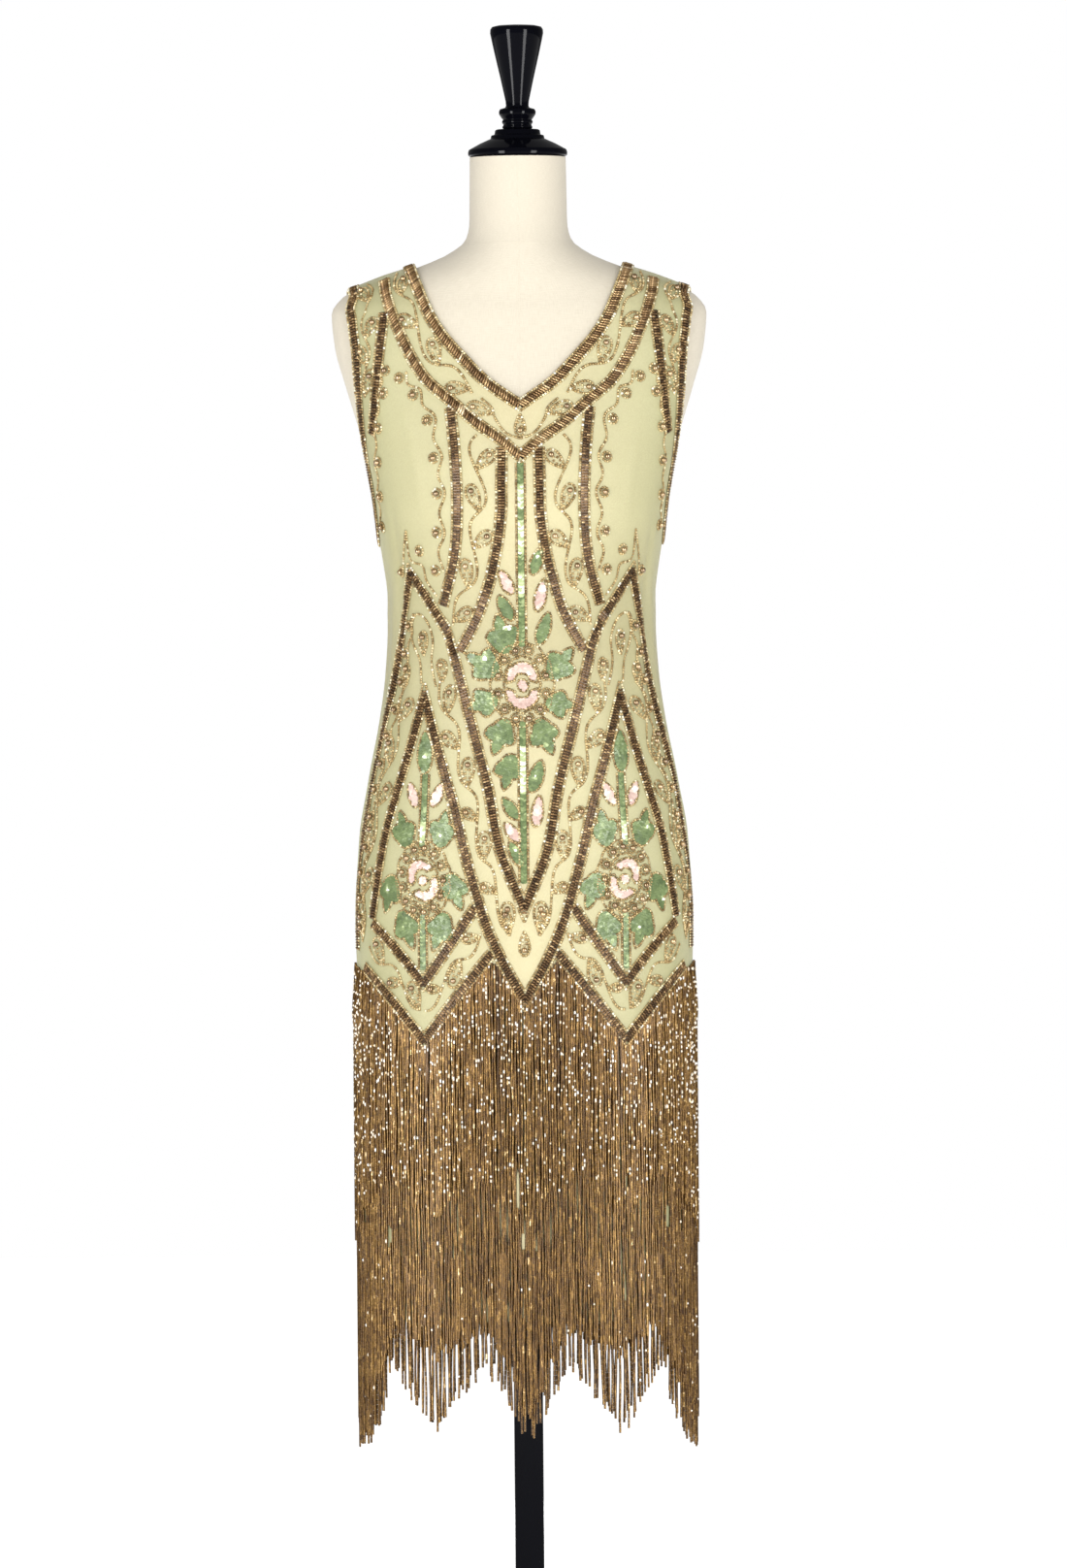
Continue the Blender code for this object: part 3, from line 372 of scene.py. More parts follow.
def fold_depth(face, angle, height):
    total = np.zeros(np.broadcast(angle, height).shape)
    for fold in FOLDS:
        away = (np.degrees(angle) - fold.around * face) / fold.spread
        share = (fold.top - height) / (fold.top - fold.bottom)
        inside = (share > 0) & (share < 1) & (abs(away) < 1)
        ridge = fold.depth * np.sin(math.pi * share) * np.cos(away * math.pi / 2) ** 2
        total += np.where(inside, ridge, 0.0)
    return total


def surface(face, angle, height, dressed=True):
    """Points of the form, or of the cloth's base surface, for angles from 0 in the middle of a wall."""
    angle, height = np.broadcast_arrays(np.asarray(angle, float), np.asarray(height, float))
    half_width, depth, taper = section_size(face, height, dressed)
    x = half_width * np.sin(angle)
    y = -face * depth * np.maximum(np.cos(angle), 0.0) ** (2 * taper)
    if dressed:
        out = fold_depth(face, angle, height) / np.maximum(np.hypot(x, y), 1e-9)
        x, y = x * (1 + out), y * (1 + out)
    return np.stack([x, y, height], axis=-1)


def unit(vectors):
    return vectors / np.maximum(np.linalg.norm(vectors, axis=-1, keepdims=True), 1e-12)


def outward(face, angle, height, dressed=True):
    """The surface's outward direction, with no lean to front or back at the side seam."""
    near = np.clip(angle, -SLOPE_LIMIT, SLOPE_LIMIT)

    def point(turn, rise):
        return surface(face, near + turn, height + rise, dressed)

    around = point(SMALL_TURN, 0.0) - point(-SMALL_TURN, 0.0)
    up = point(0.0, SMALL_RISE) - point(0.0, -SMALL_RISE)
    found = unit(np.cross(around, up) * face)
    turn = np.clip((abs(np.asarray(angle)) - SEAM_TURN) / (math.pi / 2 - SEAM_TURN), 0.0, 1.0)
    found[..., 1] *= 1 - turn
    return unit(found)


def cloth_point(face, angle, height, lift=0.0):
    """Points that stand lift outside the cloth's outer side."""
    points = surface(face, angle, height) + outward(face, angle, height) * (CLOTH_LIFT + lift)
    points[..., 1] -= face * SEAM_GAP / 2
    return points


linen = Finish("cream linen", srgb(226, 214, 196), {"Sheen Weight": 0.15, "Sheen Roughness": 0.5})
linen_map = linen.node("ShaderNodeUVMap", {"uv_map": "linen"})
warp = linen.noise(1.0, 3.0, stretch=(1500.0, 110.0, 1.0), vector=linen_map)
weft = linen.noise(1.0, 3.0, stretch=(110.0, 1500.0, 1.0), vector=linen_map)
threads = warp * 0.5 + weft * 0.5
pale_linen = linen.mixed(linen.noise(7.0, 3.0), srgb(214, 206, 188), srgb(222, 215, 199))
linen.shade("Base Color", linen.mixed(threads * 1.4 - 0.25, srgb(192, 182, 162), pale_linen))
linen.shade("Roughness", 0.78 + threads * 0.15)
linen.bump(threads, 0.0005)


def new_grid(columns, rows):
    """(bmesh, share across, share down of each vertex) of a flat grid that is then moved into shape."""
    bm = bmesh.new()
    bmesh.ops.create_grid(bm, x_segments=columns, y_segments=rows, size=0.5, calc_uvs=False)
    flat = np.array([v.co for v in bm.verts])
    return bm, flat[:, 0] + 0.5, 0.5 - flat[:, 1]


def move_all(bm, points):
    for vertex, point in zip(bm.verts, points):
        vertex.co = point


def lay_linen(bm, places):
    """Gives a bmesh the map that the weave follows, from a place of each vertex."""
    layer = bm.loops.layers.uv.new("linen")
    bm.verts.index_update()
    for face in bm.faces:
        for loop in face.loops:
            loop[layer].uv = places[loop.vert.index]


bm, share_round, share_down = new_grid(FORM_COLUMNS, FORM_ROWS)
turn = (share_round - 0.5) * 2 * math.pi
height = FORM_TOP + (FORM_BOTTOM - FORM_TOP) * share_down
angle = np.arcsin(np.clip(np.sin(turn), -1, 1))
front_points, back_points = (surface(face, angle, height, dressed=False) for face in (FRONT, BACK))
points = np.where((np.cos(turn) >= 0)[:, None], front_points, back_points)
lay_linen(bm, np.stack([share_round * FORM_GIRTH, height], axis=-1))
move_all(bm, points)
bmesh.ops.remove_doubles(bm, verts=bm.verts, dist=1e-6)
bmesh.ops.holes_fill(bm, edges=[edge for edge in bm.edges if edge.is_boundary], sides=0)
bmesh.ops.recalc_face_normals(bm, faces=bm.faces)
torso = linked("torso", bm, linen)
torso.data.set_sharp_from_angle(angle=math.radians(50))
fitted(torso, "linen", "form_body")

# Seams of the linen.
# Each seam is a narrow lapped strip of linen with a stitched groove along its middle. Seams run down the
# middle of front and back and round the root of the neck.
SEAM_WIDTH, SEAM_HEIGHT, SEAM_SINK, SEAM_STEP = 0.0030, 0.00045, 0.0003, 0.008
NECK_SEAM_HEIGHT = 1.5070
SEAM_ENDS = {FRONT: 1.30, BACK: 1.36}
LAP_PROFILE = np.array(
    [(-0.5, 0.0), (-0.36, 0.9), (-0.10, 1.0), (0.0, 0.25), (0.10, 1.0), (0.36, 0.9), (0.5, 0.0)]
)


def seam(name, face, angles, heights):
    """A low lapped strip along a line on the bare form."""
    points, ups = surface(face, angles, heights, False), outward(face, angles, heights, False)
    count, last = len(points), len(LAP_PROFILE) - 1
    bm, across_share, along_share = new_grid(last, count - 1)
    column = np.rint(across_share * last).astype(int)
    row = np.rint(along_share * (count - 1)).astype(int)
    across = unit(np.cross(ups, unit(np.gradient(points, axis=0))))
    placed = (
        points[row]
        + across[row] * (LAP_PROFILE[column, 0] * SEAM_WIDTH)[:, None]
        + ups[row] * (LAP_PROFILE[column, 1] * SEAM_HEIGHT - SEAM_SINK)[:, None]
    )
    move_all(bm, placed)
    lay_linen(bm, np.stack([placed[:, 0] + placed[:, 1], placed[:, 2]], axis=-1))
    bmesh.ops.recalc_face_normals(bm, faces=bm.faces)
    average = sum((face.normal for face in bm.faces), Vector())
    if average.dot(Vector(ups.mean(axis=0))) < 0:
        bmesh.ops.reverse_faces(bm, faces=bm.faces)
    fitted(linked(name, bm, linen), "linen")


for face, word in WALLS:
    heights = np.arange(FORM_TOP - 0.001, SEAM_ENDS[face], -SEAM_STEP)
    seam(f"middle_seam_{word}", face, np.zeros(len(heights)), heights)
    angles = np.linspace(-math.pi / 2, math.pi / 2, 61)
    seam(f"neck_seam_{word}", face, angles, np.full(len(angles), NECK_SEAM_HEIGHT))

# Neck cap and finial.
# A shallow turned cap with two small steps closes the neck, and a turned handle like an upturned cone stands
# on it. Both are gloss black lacquered wood.
CAP_PROFILE = (
    (0, 1599.5), (50, 1599.5), (52.5, 1601.5), (52.8, 1604.5), (51.8, 1607.5), (50, 1608.5), (40, 1614),
    (30, 1618.5), (28.7, 1619), (28, 1622.5), (24.5, 1623.5), (23.8, 1628), (22, 1629), (0, 1629),
)
FINIAL_PROFILE = (
    (0, 1629.3), (15, 1629.3), (16.2, 1631.2), (15, 1633.4), (14.8, 1633.8), (16.4, 1636.2), (16.2, 1638),
    (15.2, 1639), (17.4, 1641.8), (19.4, 1645), (19.6, 1648), (18.4, 1650.5), (13, 1652), (12, 1654),
    (12.4, 1659), (14.8, 1670), (17.6, 1683), (20.6, 1696), (23.8, 1710), (26.8, 1724), (28.2, 1731),
    (28, 1735), (26.2, 1737.8), (20, 1739.3), (10, 1739.9), (0, 1740),
)
turned("neck_cap", CAP_PROFILE, 0.0005, "form_cap")
turned("finial", FINIAL_PROFILE, 0.0005, "form_finial")

# Front and back of the dress.
# Each is one length of sheer silk georgette, cut with a V neck and deep armholes and sewn at the shoulders and
# sides. It lies on the form down to the bust and hangs free below.
EdgeRow = namedtuple("EdgeRow", "height across")
NECKLINES = {
    FRONT: in_metres(
        EdgeRow,
        (1340, 0), (1362.5, 31), (1387, 54.6), (1415, 78), (1436.7, 90.6), (1456, 98.5), (1470, 104),
    ),
    BACK: in_metres(
        EdgeRow,
        (1390, 0), (1406, 26), (1425, 52), (1444, 76), (1460, 93.5), (1472, 103),
    ),
}
NECKLINE_SHOULDER_WIDTH = 0.1087
SHOULDER_RIDGE_SPAN = (1.4340, 1.5120)
# How far the armhole's edge lies in front of the side line, or behind it, from shoulder to underarm.
ArmholeRow = namedtuple("ArmholeRow", "height front back")
ARMHOLE = in_metres(
    ArmholeRow,
    (1457.7, 0, 0), (1450, 16, 15), (1435, 27, 25), (1418, 34, 31), (1384.5, 41, 37), (1343, 38, 34),
    (1299, 29, 27), (1246.5, 19, 18), (1215, 12, 11), (1203, 7, 7), (1197, 0, 0),
)
UNDERARM_HEIGHT = 1.1970
HEM_HEIGHT = 0.3675
NECKLINE_ROWS, CHEST_ROWS, BODY_ROWS, HALF_COLUMNS = 40, 20, 72, 38
EDGE_STEPS = 240
GEORGETTE_THICKNESS = 0.0004
WAIST_HEIGHT = 1.08


def ridge_height(across):
    """The height of the shoulder ridge at a distance from the middle."""
    heights = np.linspace(*SHOULDER_RIDGE_SPAN, 400)
    return float(np.interp(-across, -section_size(FRONT, heights)[0], heights))


def neckline_edge(face):
    """Angles and heights along the neckline, from the shoulder ridge to its point."""
    top = ridge_height(NECKLINE_SHOULDER_WIDTH)
    rows = NECKLINES[face] + [EdgeRow(top, NECKLINE_SHOULDER_WIDTH)]
    heights = top - (top - rows[0].height) * np.linspace(0, 1, EDGE_STEPS) ** 1.6
    across = smooth_values([r.height for r in rows], [r.across for r in rows], heights)
    angles = np.arcsin(np.clip(across / section_size(face, heights)[0], 0, 1))
    angles[0] = math.pi / 2
    return angles, heights


def armhole_edge(face):
    """Angles and heights along the armhole, from the shoulder ridge to the underarm."""
    share = (1 - np.cos(np.linspace(0, math.pi, EDGE_STEPS))) / 2
    heights = ARMHOLE[0].height + (UNDERARM_HEIGHT - ARMHOLE[0].height) * share
    forward = np.maximum(from_table(ARMHOLE, "front" if face == FRONT else "back", heights), 0.0)
    _, depth, taper = section_size(face, heights)
    return np.arccos(np.clip((forward / depth) ** (1 / (2 * taper)), 0, 1)), heights


def resampled(face, angles, heights, shares):
    """Angles and heights at the given shares of an edge's length."""
    steps = np.linalg.norm(np.diff(surface(face, angles, heights), axis=0), axis=1)
    run = np.concatenate([[0.0], np.cumsum(steps)])
    wanted = np.asarray(shares) * run[-1]
    return np.interp(wanted, run, angles), np.interp(wanted, run, heights)


georgette = Finish("sheer georgette", srgb(198, 201, 140), {"Sheen Weight": 0.25, "Sheen Roughness": 0.35})
crepe = georgette.noise(1400.0, 2.0)
cloudy = georgette.noise(5.0, 3.0)
middle, level = (
    georgette.node("ShaderNodeSeparateXYZ", {}, {"Vector": georgette.place()}, output=axis) for axis in "XZ"
)
# Painted light and shade: the middle of each wall is painted a lighter cream, as the sheer cloth looks where
# the light falls full on it, and the sides a darker green, as it looks where it turns away from the light.
sideways = georgette.node("ShaderNodeMath", {"operation": "ABSOLUTE"}, {0: middle}) * 6.2
sideways = georgette.node("ShaderNodeClamp", {}, {"Value": sideways + cloudy * 0.3 - 0.15})
# Painted shade: round the waist the cloth stands off the form and the linen behind it is in shadow, so there
# the cloth is painted toward a darker brownish colour, srgb(170, 158, 108). Cloudy noise adds random tone to
# the same mix, and the whole cloth is painted a little toward that shade colour.
from_waist = georgette.node("ShaderNodeMath", {"operation": "ABSOLUTE"}, {0: level - WAIST_HEIGHT})
waist_shade = georgette.node("ShaderNodeClamp", {}, {"Value": 1.0 - from_waist * 7.0})
painted_lit_front = georgette.mixed(crepe, srgb(220, 209, 160), srgb(248, 238, 196))
painted_shaded_sides = georgette.mixed(crepe, srgb(188, 187, 136), srgb(218, 215, 168))
painted_light_and_shade = georgette.mixed(sideways, painted_lit_front, painted_shaded_sides)
painted_shade_and_cloud = waist_shade * 0.30 + cloudy * 0.08 + 0.05
georgette.shade("Base Color", georgette.mixed(painted_shade_and_cloud, painted_light_and_shade, srgb(170, 158, 108)))
georgette.shade("Roughness", 0.5 + crepe * 0.25)
georgette.shade("Alpha", 0.42 + crepe * 0.22)
georgette.bump(crepe, 0.0003)

for face, word in WALLS:
    inner_angles, inner_heights = resampled(
        face, *neckline_edge(face), np.linspace(0, 1, NECKLINE_ROWS + 1) ** 1.25
    )
    chest = np.linspace(inner_heights[-1], UNDERARM_HEIGHT, CHEST_ROWS + 1)[1:]
    body = np.linspace(UNDERARM_HEIGHT, HEM_HEIGHT, BODY_ROWS + 1)[1:]
    inner_angles = np.concatenate([inner_angles, np.zeros(CHEST_ROWS + BODY_ROWS)])
    inner_heights = np.concatenate([inner_heights, chest, body])
    outer_angles, outer_heights = resampled(
        face, *armhole_edge(face), np.linspace(0, 1, NECKLINE_ROWS + CHEST_ROWS + 1) ** 1.25
    )
    outer_angles = np.concatenate([outer_angles, np.full(BODY_ROWS, math.pi / 2)])
    outer_heights = np.concatenate([outer_heights, body])
    rows = len(inner_angles) - 1
    bm = bmesh.new()
    for side in (LEFT, RIGHT):
        half, share, down = new_grid(HALF_COLUMNS, rows)
        row = np.rint(down * rows).astype(int)
        angle = inner_angles[row] + (outer_angles[row] - inner_angles[row]) * share
        height = inner_heights[row] + (outer_heights[row] - inner_heights[row]) * share
        move_all(half, cloth_point(face, angle * side, height))
        if side * face < 0:
            bmesh.ops.reverse_faces(half, faces=half.faces)
        half_mesh = bpy.data.meshes.new("half")
        half.to_mesh(half_mesh)
        half.free()
        bm.from_mesh(half_mesh)
        bpy.data.meshes.remove(half_mesh)
    bmesh.ops.remove_doubles(bm, verts=bm.verts, dist=1e-6)
    if bm.faces[:][len(bm.faces) // 3].normal.y * face > 0:
        bmesh.ops.reverse_faces(bm, faces=bm.faces)
    cloth = linked(f"georgette_{word}", bm, georgette)
    thickness = cloth.modifiers.new("thickness", "SOLIDIFY")
    thickness.thickness, thickness.offset = GEORGETTE_THICKNESS, -1.0
    fitted(cloth, "georgette", f"dress_{word}")

# Beaded bands.
# Brown glass bugles are laid across each band and sewn down one by one, between two lines of gold seed beads.
# The bands edge the neckline and armholes and draw the long lines of the dress, front and back alike.
Spot = namedtuple("Spot", "across height")


def marks(*rows):
    return in_metres(Spot, *rows)


NECK_BAND = {
    FRONT: marks(
        (144.5, 1466), (140, 1445), (131, 1420), (116, 1387), (98, 1359.5), (77, 1341), (47, 1315),
        (23, 1297.6), (0, 1278),
    ),
    BACK: marks(
        (144.5, 1466), (140, 1450), (130, 1430), (112, 1405), (80, 1378), (40, 1351), (0, 1327),
    ),
}
# The strap and inner princess bands run on a little past their solids, to meet the bands at their ends.
STRAP_BAND = marks(
    (143.5, 1433), (148.5, 1393), (152.5, 1354), (156, 1315), (157, 1305),
)
OUTER_PRINCESS = {FRONT: marks(
    (74, 1331), (70.5, 1298.7), (68.5, 1271), (67, 1232.7), (68.5, 1191.5), (73, 1161.6), (83, 1123),
)}
OUTER_PRINCESS[BACK] = marks((76, 1356)) + OUTER_PRINCESS[FRONT][1:]
INNER_PRINCESS = {FRONT: marks(
    (19.5, 1288), (20.3, 1246), (20.6, 1223), (24.2, 1192.5), (30, 1163), (36, 1140), (43, 1118.8),
    (53, 1097.6), (59.5, 1085.8), (65.8, 1074.5),
)}
INNER_PRINCESS[BACK] = marks((19.5, 1323), (20, 1280)) + INNER_PRINCESS[FRONT][2:]
OUTER_SIDE_LEG = marks(
    (176, 760), (175.7, 820), (172.4, 857), (160.7, 928), (148.4, 978), (134.7, 1039), (124.8, 1100),
    (117, 1159),
)
OUTER_MIDDLE_LEG = marks(
    (117, 1159), (86.5, 1109.2), (75, 1083.4), (67, 1050.5), (51.5, 986.5), (37, 927.8), (25, 864), (0, 802),
)
INNER_SIDE_LEG = marks(
    (160.8, 793), (153, 844.5), (145.8, 882.5), (134.4, 922.7), (119.8, 970), (103.4, 1027.8),
)
INNER_MIDDLE_LEG = marks(
    (103.4, 1027.8), (89, 968), (73, 908.3), (62.3, 861), (51.5, 821), (40.7, 786), (23, 746), (0, 704.5),
)
DIAMOND_LEGS = [
    marks((160.5, 789), (132, 756), (107.6, 724)),
    marks((107.6, 724), (81, 762), (51.5, 805)),
]
FRINGE_EDGE_LEGS = [
    marks((169, 742), (140, 706), (107, 664)),
    marks((107, 664), (76, 705), (44, 745), (34.5, 756)),
]
WIDEST_SINE = 0.985
EDGE_BAND_OFFSET = 0.0067
ARMHOLE_BAND_SHARE = 0.97
RUN_PAST_MIDDLE = 0.012
COLUMN_OFFSET, FLANK_OFFSET = 0.0018, 0.0053
RUNG_PITCH, SEED_PITCH, THREAD_PITCH = 0.0030, 0.0029, 0.0080
SLANTED_LIFT, BEAD_LIFT, THREAD_LIFT = 0.0014, 0.0013, 0.0004
SLANT = 0.45
SLANTED_BUGLE, PLAIN_BUGLE = (0.0084, 0.0023, 0.0028), (0.0035, 0.0022, 0.0026)
THREAD_SIZE = (0.0074, 0.0086, 0.0006)
LONGEST_MITRE = 0.013
BESIDE_STEPS = 200
Trail = namedtuple("Trail", "face points run")
Frames = namedtuple("Frames", "points acrosses alongs ups")
dice = np.random.default_rng(7)


def angle_at(face, across, height):
    half_width = section_size(face, height)[0] + CLOTH_LIFT
    return np.arcsin(np.clip(across / half_width, -WIDEST_SINE, WIDEST_SINE))


def smooth_path(spots, steps=20):
    """Spots joined by one smooth curve, as an array of (across, height)."""
    points = np.array(spots, float)
    points = np.vstack([2 * points[0] - points[1], points, 2 * points[-1] - points[-2]])
    t = np.linspace(0.0, 1.0, steps, endpoint=False)[:, None]
    found = [
        0.5 * (2 * b + (c - a) * t + (2 * a - 5 * b + 4 * c - d) * t**2 + (3 * b - a - 3 * c + d) * t**3)
        for a, b, c, d in zip(points, points[1:], points[2:], points[3:])
    ]
    return np.vstack([*found, points[-2]])


def foot_of(face, points):
    """The angle and height of points on the cloth's base surface."""
    half_width, depth, taper = section_size(face, points[:, 2])
    forward = (np.maximum(-face * points[:, 1], 0.0) / depth) ** (1 / (2 * taper))
    return np.arctan2(points[:, 0] / half_width, forward), points[:, 2]


def settled(face, points, lift=0.0):
    """Points near the cloth, moved straight onto it, and the cloth's outward directions there."""
    angles, heights = foot_of(face, points)
    for _ in range(3):
        ups = outward(face, angles, heights)
        off = points - cloth_point(face, angles, heights)
        off = off - ups * (off * ups).sum(axis=-1, keepdims=True)
        angles, heights = foot_of(face, surface(face, angles, heights) + off)
    return cloth_point(face, angles, heights, lift), outward(face, angles, heights)


def trail_of(face, points):
    steps = np.linalg.norm(np.diff(points, axis=0), axis=1)
    return Trail(face, points, np.concatenate([[0.0], np.cumsum(steps)]))


def spots_in_space(face, side, spots):
    spots = np.array(spots, float)
    return cloth_point(face, angle_at(face, spots[:, 0] * side, spots[:, 1]), spots[:, 1])


def drawn(face, side, spots):
    """A trail along spots of one half of a wall."""
    return trail_of(face, spots_in_space(face, side, smooth_path(spots)))


def turned_round(trail):
    return trail_of(trail.face, trail.points[::-1])


def along_trail(trail, distances):
    """Points and directions at distances from the trail's start. Past its ends it goes straight on."""
    def point(places):
        return np.stack([np.interp(places, trail.run, trail.points[:, k]) for k in range(3)], axis=-1)

    inside = np.clip(distances, 0.0, trail.run[-1])
    alongs = unit(point(inside + 0.001) - point(inside - 0.001))
    return point(inside) + alongs * (distances - inside)[:, None], alongs


def frames_at(face, points, alongs, lift):
    """Where beads lie on the cloth: their places and their own three directions."""
    points, ups = settled(face, points, lift)
    alongs = unit(alongs - ups * (alongs * ups).sum(axis=-1, keepdims=True))
    return Frames(points, np.cross(alongs, ups), alongs, ups)


def frames_beside(trail, distances, offsets, lift=0.0):
    """The same along a trail, offsets to its right as seen from outside."""
    points, alongs = along_trail(trail, distances)
    across = unit(np.cross(alongs, settled(trail.face, points)[1]))
    return frames_at(trail.face, points + across * np.reshape(offsets, (-1, 1)), alongs, lift)


def stacked(frames):
    return Frames(*(np.concatenate(parts) for parts in zip(*frames)))


def corner_pull(first, second):
    """How far a row beside two meeting trails is longer at their corner, for each metre of its offset."""
    before = along_trail(first, first.run[-1:])[1][0]
    after = along_trail(second, np.zeros(1))[1][0]
    up = settled(second.face, second.points[:1])[1][0]
    half_turn = math.acos(max(-0.999, min(1.0, float(before @ after)))) / 2
    return math.copysign(math.tan(half_turn), float(np.cross(before, after) @ up))


def rows_of(legs, offset, pitch, lift):
    """A row of beads beside a chain of trails, mitred where they meet."""
    pulls = [0.0, *(corner_pull(a, b) for a, b in zip(legs, legs[1:])), 0.0]
    found = []
    for leg, start_pull, end_pull in zip(legs, pulls, pulls[1:]):
        start = -min(start_pull * offset, LONGEST_MITRE)
        end = leg.run[-1] + min(end_pull * offset, LONGEST_MITRE)
        count = max(2, round((end - start) / pitch))
        distances = start + (np.arange(count) + 0.5) * (end - start) / count
        found.append(frames_beside(leg, distances, np.full(count, offset), lift))
    return stacked(found)


def joined_beads(name, pattern, frames, sizes, finish, tints, *nodes, slot="band_beads", smooth=True):
    """One mesh of many beads: copies of a shape of unit size, each sized, tinted and laid on its frame."""
    points = np.array([v.co for v in pattern.verts])
    pattern.verts.index_update()
    rings = [[v.index for v in face.verts] for face in pattern.faces]
    pattern.free()
    count = len(frames.points)
    spread = points[None] * np.broadcast_to(sizes, (count, 3))[:, None]
    placed = (
        frames.points[:, None]
        + spread[..., 0:1] * frames.acrosses[:, None]
        + spread[..., 1:2] * frames.alongs[:, None]
        + spread[..., 2:3] * frames.ups[:, None]
    )
    corners = np.concatenate([np.array(ring) for ring in rings])
    starts = np.cumsum([0] + [len(ring) for ring in rings[:-1]])
    copies = np.arange(count)[:, None]
    mesh = bpy.data.meshes.new(name)
    mesh.vertices.add(count * len(points))
    mesh.vertices.foreach_set("co", placed.astype(np.float32).ravel())
    mesh.loops.add(count * len(corners))
    mesh.loops.foreach_set("vertex_index", (copies * len(points) + corners).astype(np.int32).ravel())
    mesh.polygons.add(count * len(rings))
    mesh.polygons.foreach_set("loop_start", (copies * len(corners) + starts).astype(np.int32).ravel())
    mesh.polygons.foreach_set("use_smooth", np.full(count * len(rings), smooth))
    mesh.update(calc_edges=True)
    mesh.validate()
    each_tint = np.repeat(np.asarray(tints, np.float32), len(points))
    mesh.attributes.new("tint", "FLOAT", "POINT").data.foreach_set("value", each_tint)
    fitted(shown(name, mesh, finish), slot, *nodes)


def seed_pattern():
    """A seed bead as a small cushion with four rounded sides."""
    bm = bmesh.new()
    bmesh.ops.create_uvsphere(bm, u_segments=4, v_segments=2, radius=0.5)
    bmesh.ops.rotate(bm, verts=bm.verts, matrix=Matrix.Rotation(math.pi / 4, 3, "Z"))
    bmesh.ops.scale(bm, vec=(1.30, 1.30, 1.0), verts=bm.verts)
    return bm


def cone_pattern(sides, axis=None, top_radius=0.5, capped=True):
    """A bugle bead, or a sequin if its top is narrower. Given an axis, it is turned a quarter about it."""
    bm = bmesh.new()
    bmesh.ops.create_cone(bm, cap_ends=capped, segments=sides, radius1=0.5, radius2=top_radius, depth=1.0)
    if axis:
        bmesh.ops.rotate(bm, verts=bm.verts, matrix=Matrix.Rotation(math.pi / 2, 3, axis))
    return bm


def tinted(name, fixed, *stops, speckle=0.0, rough=0.18):
    """A finish whose colour runs through stops with each bead's own tint, and speckles finer than a bead.

    A stop is its place and its colour as seen on screen."""
    stops = [(place, srgb(*colour)) for place, *colour in stops]
    finish = Finish(name, stops[0][1], fixed)
    tint = finish.node("ShaderNodeAttribute", {"attribute_name": "tint"}, output="Fac")
    if speckle:
        tint = tint + (finish.noise(520.0, 1.0) - 0.5) * (2.5 * speckle)
    finish.shade("Base Color", finish.node("ShaderNodeValToRGB", {"stops": stops}, {"Fac": tint}))
    finish.shade("Roughness", rough + finish.noise(900.0) * 0.2)
    return finish


# The palest stop of each glass ramp is a painted highlight, which only a few bugles reach. The other stops are
# the glass's own browns, varied at random.
brown_glass = tinted(
    "brown glass", {"Metallic": 0.3, "Specular Tint": (1.0, 0.80, 0.62, 1.0), "Coat Weight": 0.0},
    (0.0, 40, 26, 14), (0.35, 92, 68, 42), (0.7, 140, 110, 72), (1.0, 216, 188, 142),
)
bronze_glass = tinted(
    "bronze glass", {"Metallic": 0.3, "Specular Tint": (1.0, 0.82, 0.64, 1.0), "Coat Weight": 0.0},
    (0.0, 72, 50, 28), (0.4, 132, 102, 66), (0.8, 186, 156, 112), (1.0, 246, 226, 188),
)
# The palest gold-seed stops, near white, are silver-lined beads and are also painted highlights.
gold_seed = tinted(
    "gold seed",
    {"Metallic": 0.2, "Specular Tint": (1.0, 0.9, 0.72, 1.0), "Coat Weight": 0.15, "Coat Roughness": 0.15},
    (0.0, 112, 88, 50), (0.35, 162, 136, 88), (0.7, 204, 182, 132), (0.88, 236, 224, 186),
    (1.0, 255, 252, 236),
)


def sewn_seeds(name, rows, size, curve):
    """Gold seed beads of slightly uneven sizes. Their tints follow a beta curve."""
    rows = stacked(rows)
    count = len(rows.points)
    sizes = np.array(size) * dice.uniform(0.85, 1.1, (count, 1))
    joined_beads(name, seed_pattern(), rows, sizes, gold_seed, dice.beta(*curve, count))


def neckline_trail(face, side):
    angles, heights = neckline_edge(face)
    return trail_of(face, cloth_point(face, angles * side, heights))


def armhole_trail(face, side, share=1.0):
    angles, heights = armhole_edge(face)
    cut = int(len(angles) * share)
    return trail_of(face, cloth_point(face, angles[:cut] * side, heights[:cut]))


def moved_beside(trail, offset, side=None):
    """A trail that runs beside another. Given a side, it is cut off at the middle of the wall."""
    distances = np.linspace(0.0, trail.run[-1] + (RUN_PAST_MIDDLE if side else 0.0), BESIDE_STEPS)
    points = frames_beside(trail, distances, np.full(BESIDE_STEPS, offset)).points
    return trail_of(trail.face, points[points[:, 0] * side > 0] if side else points)


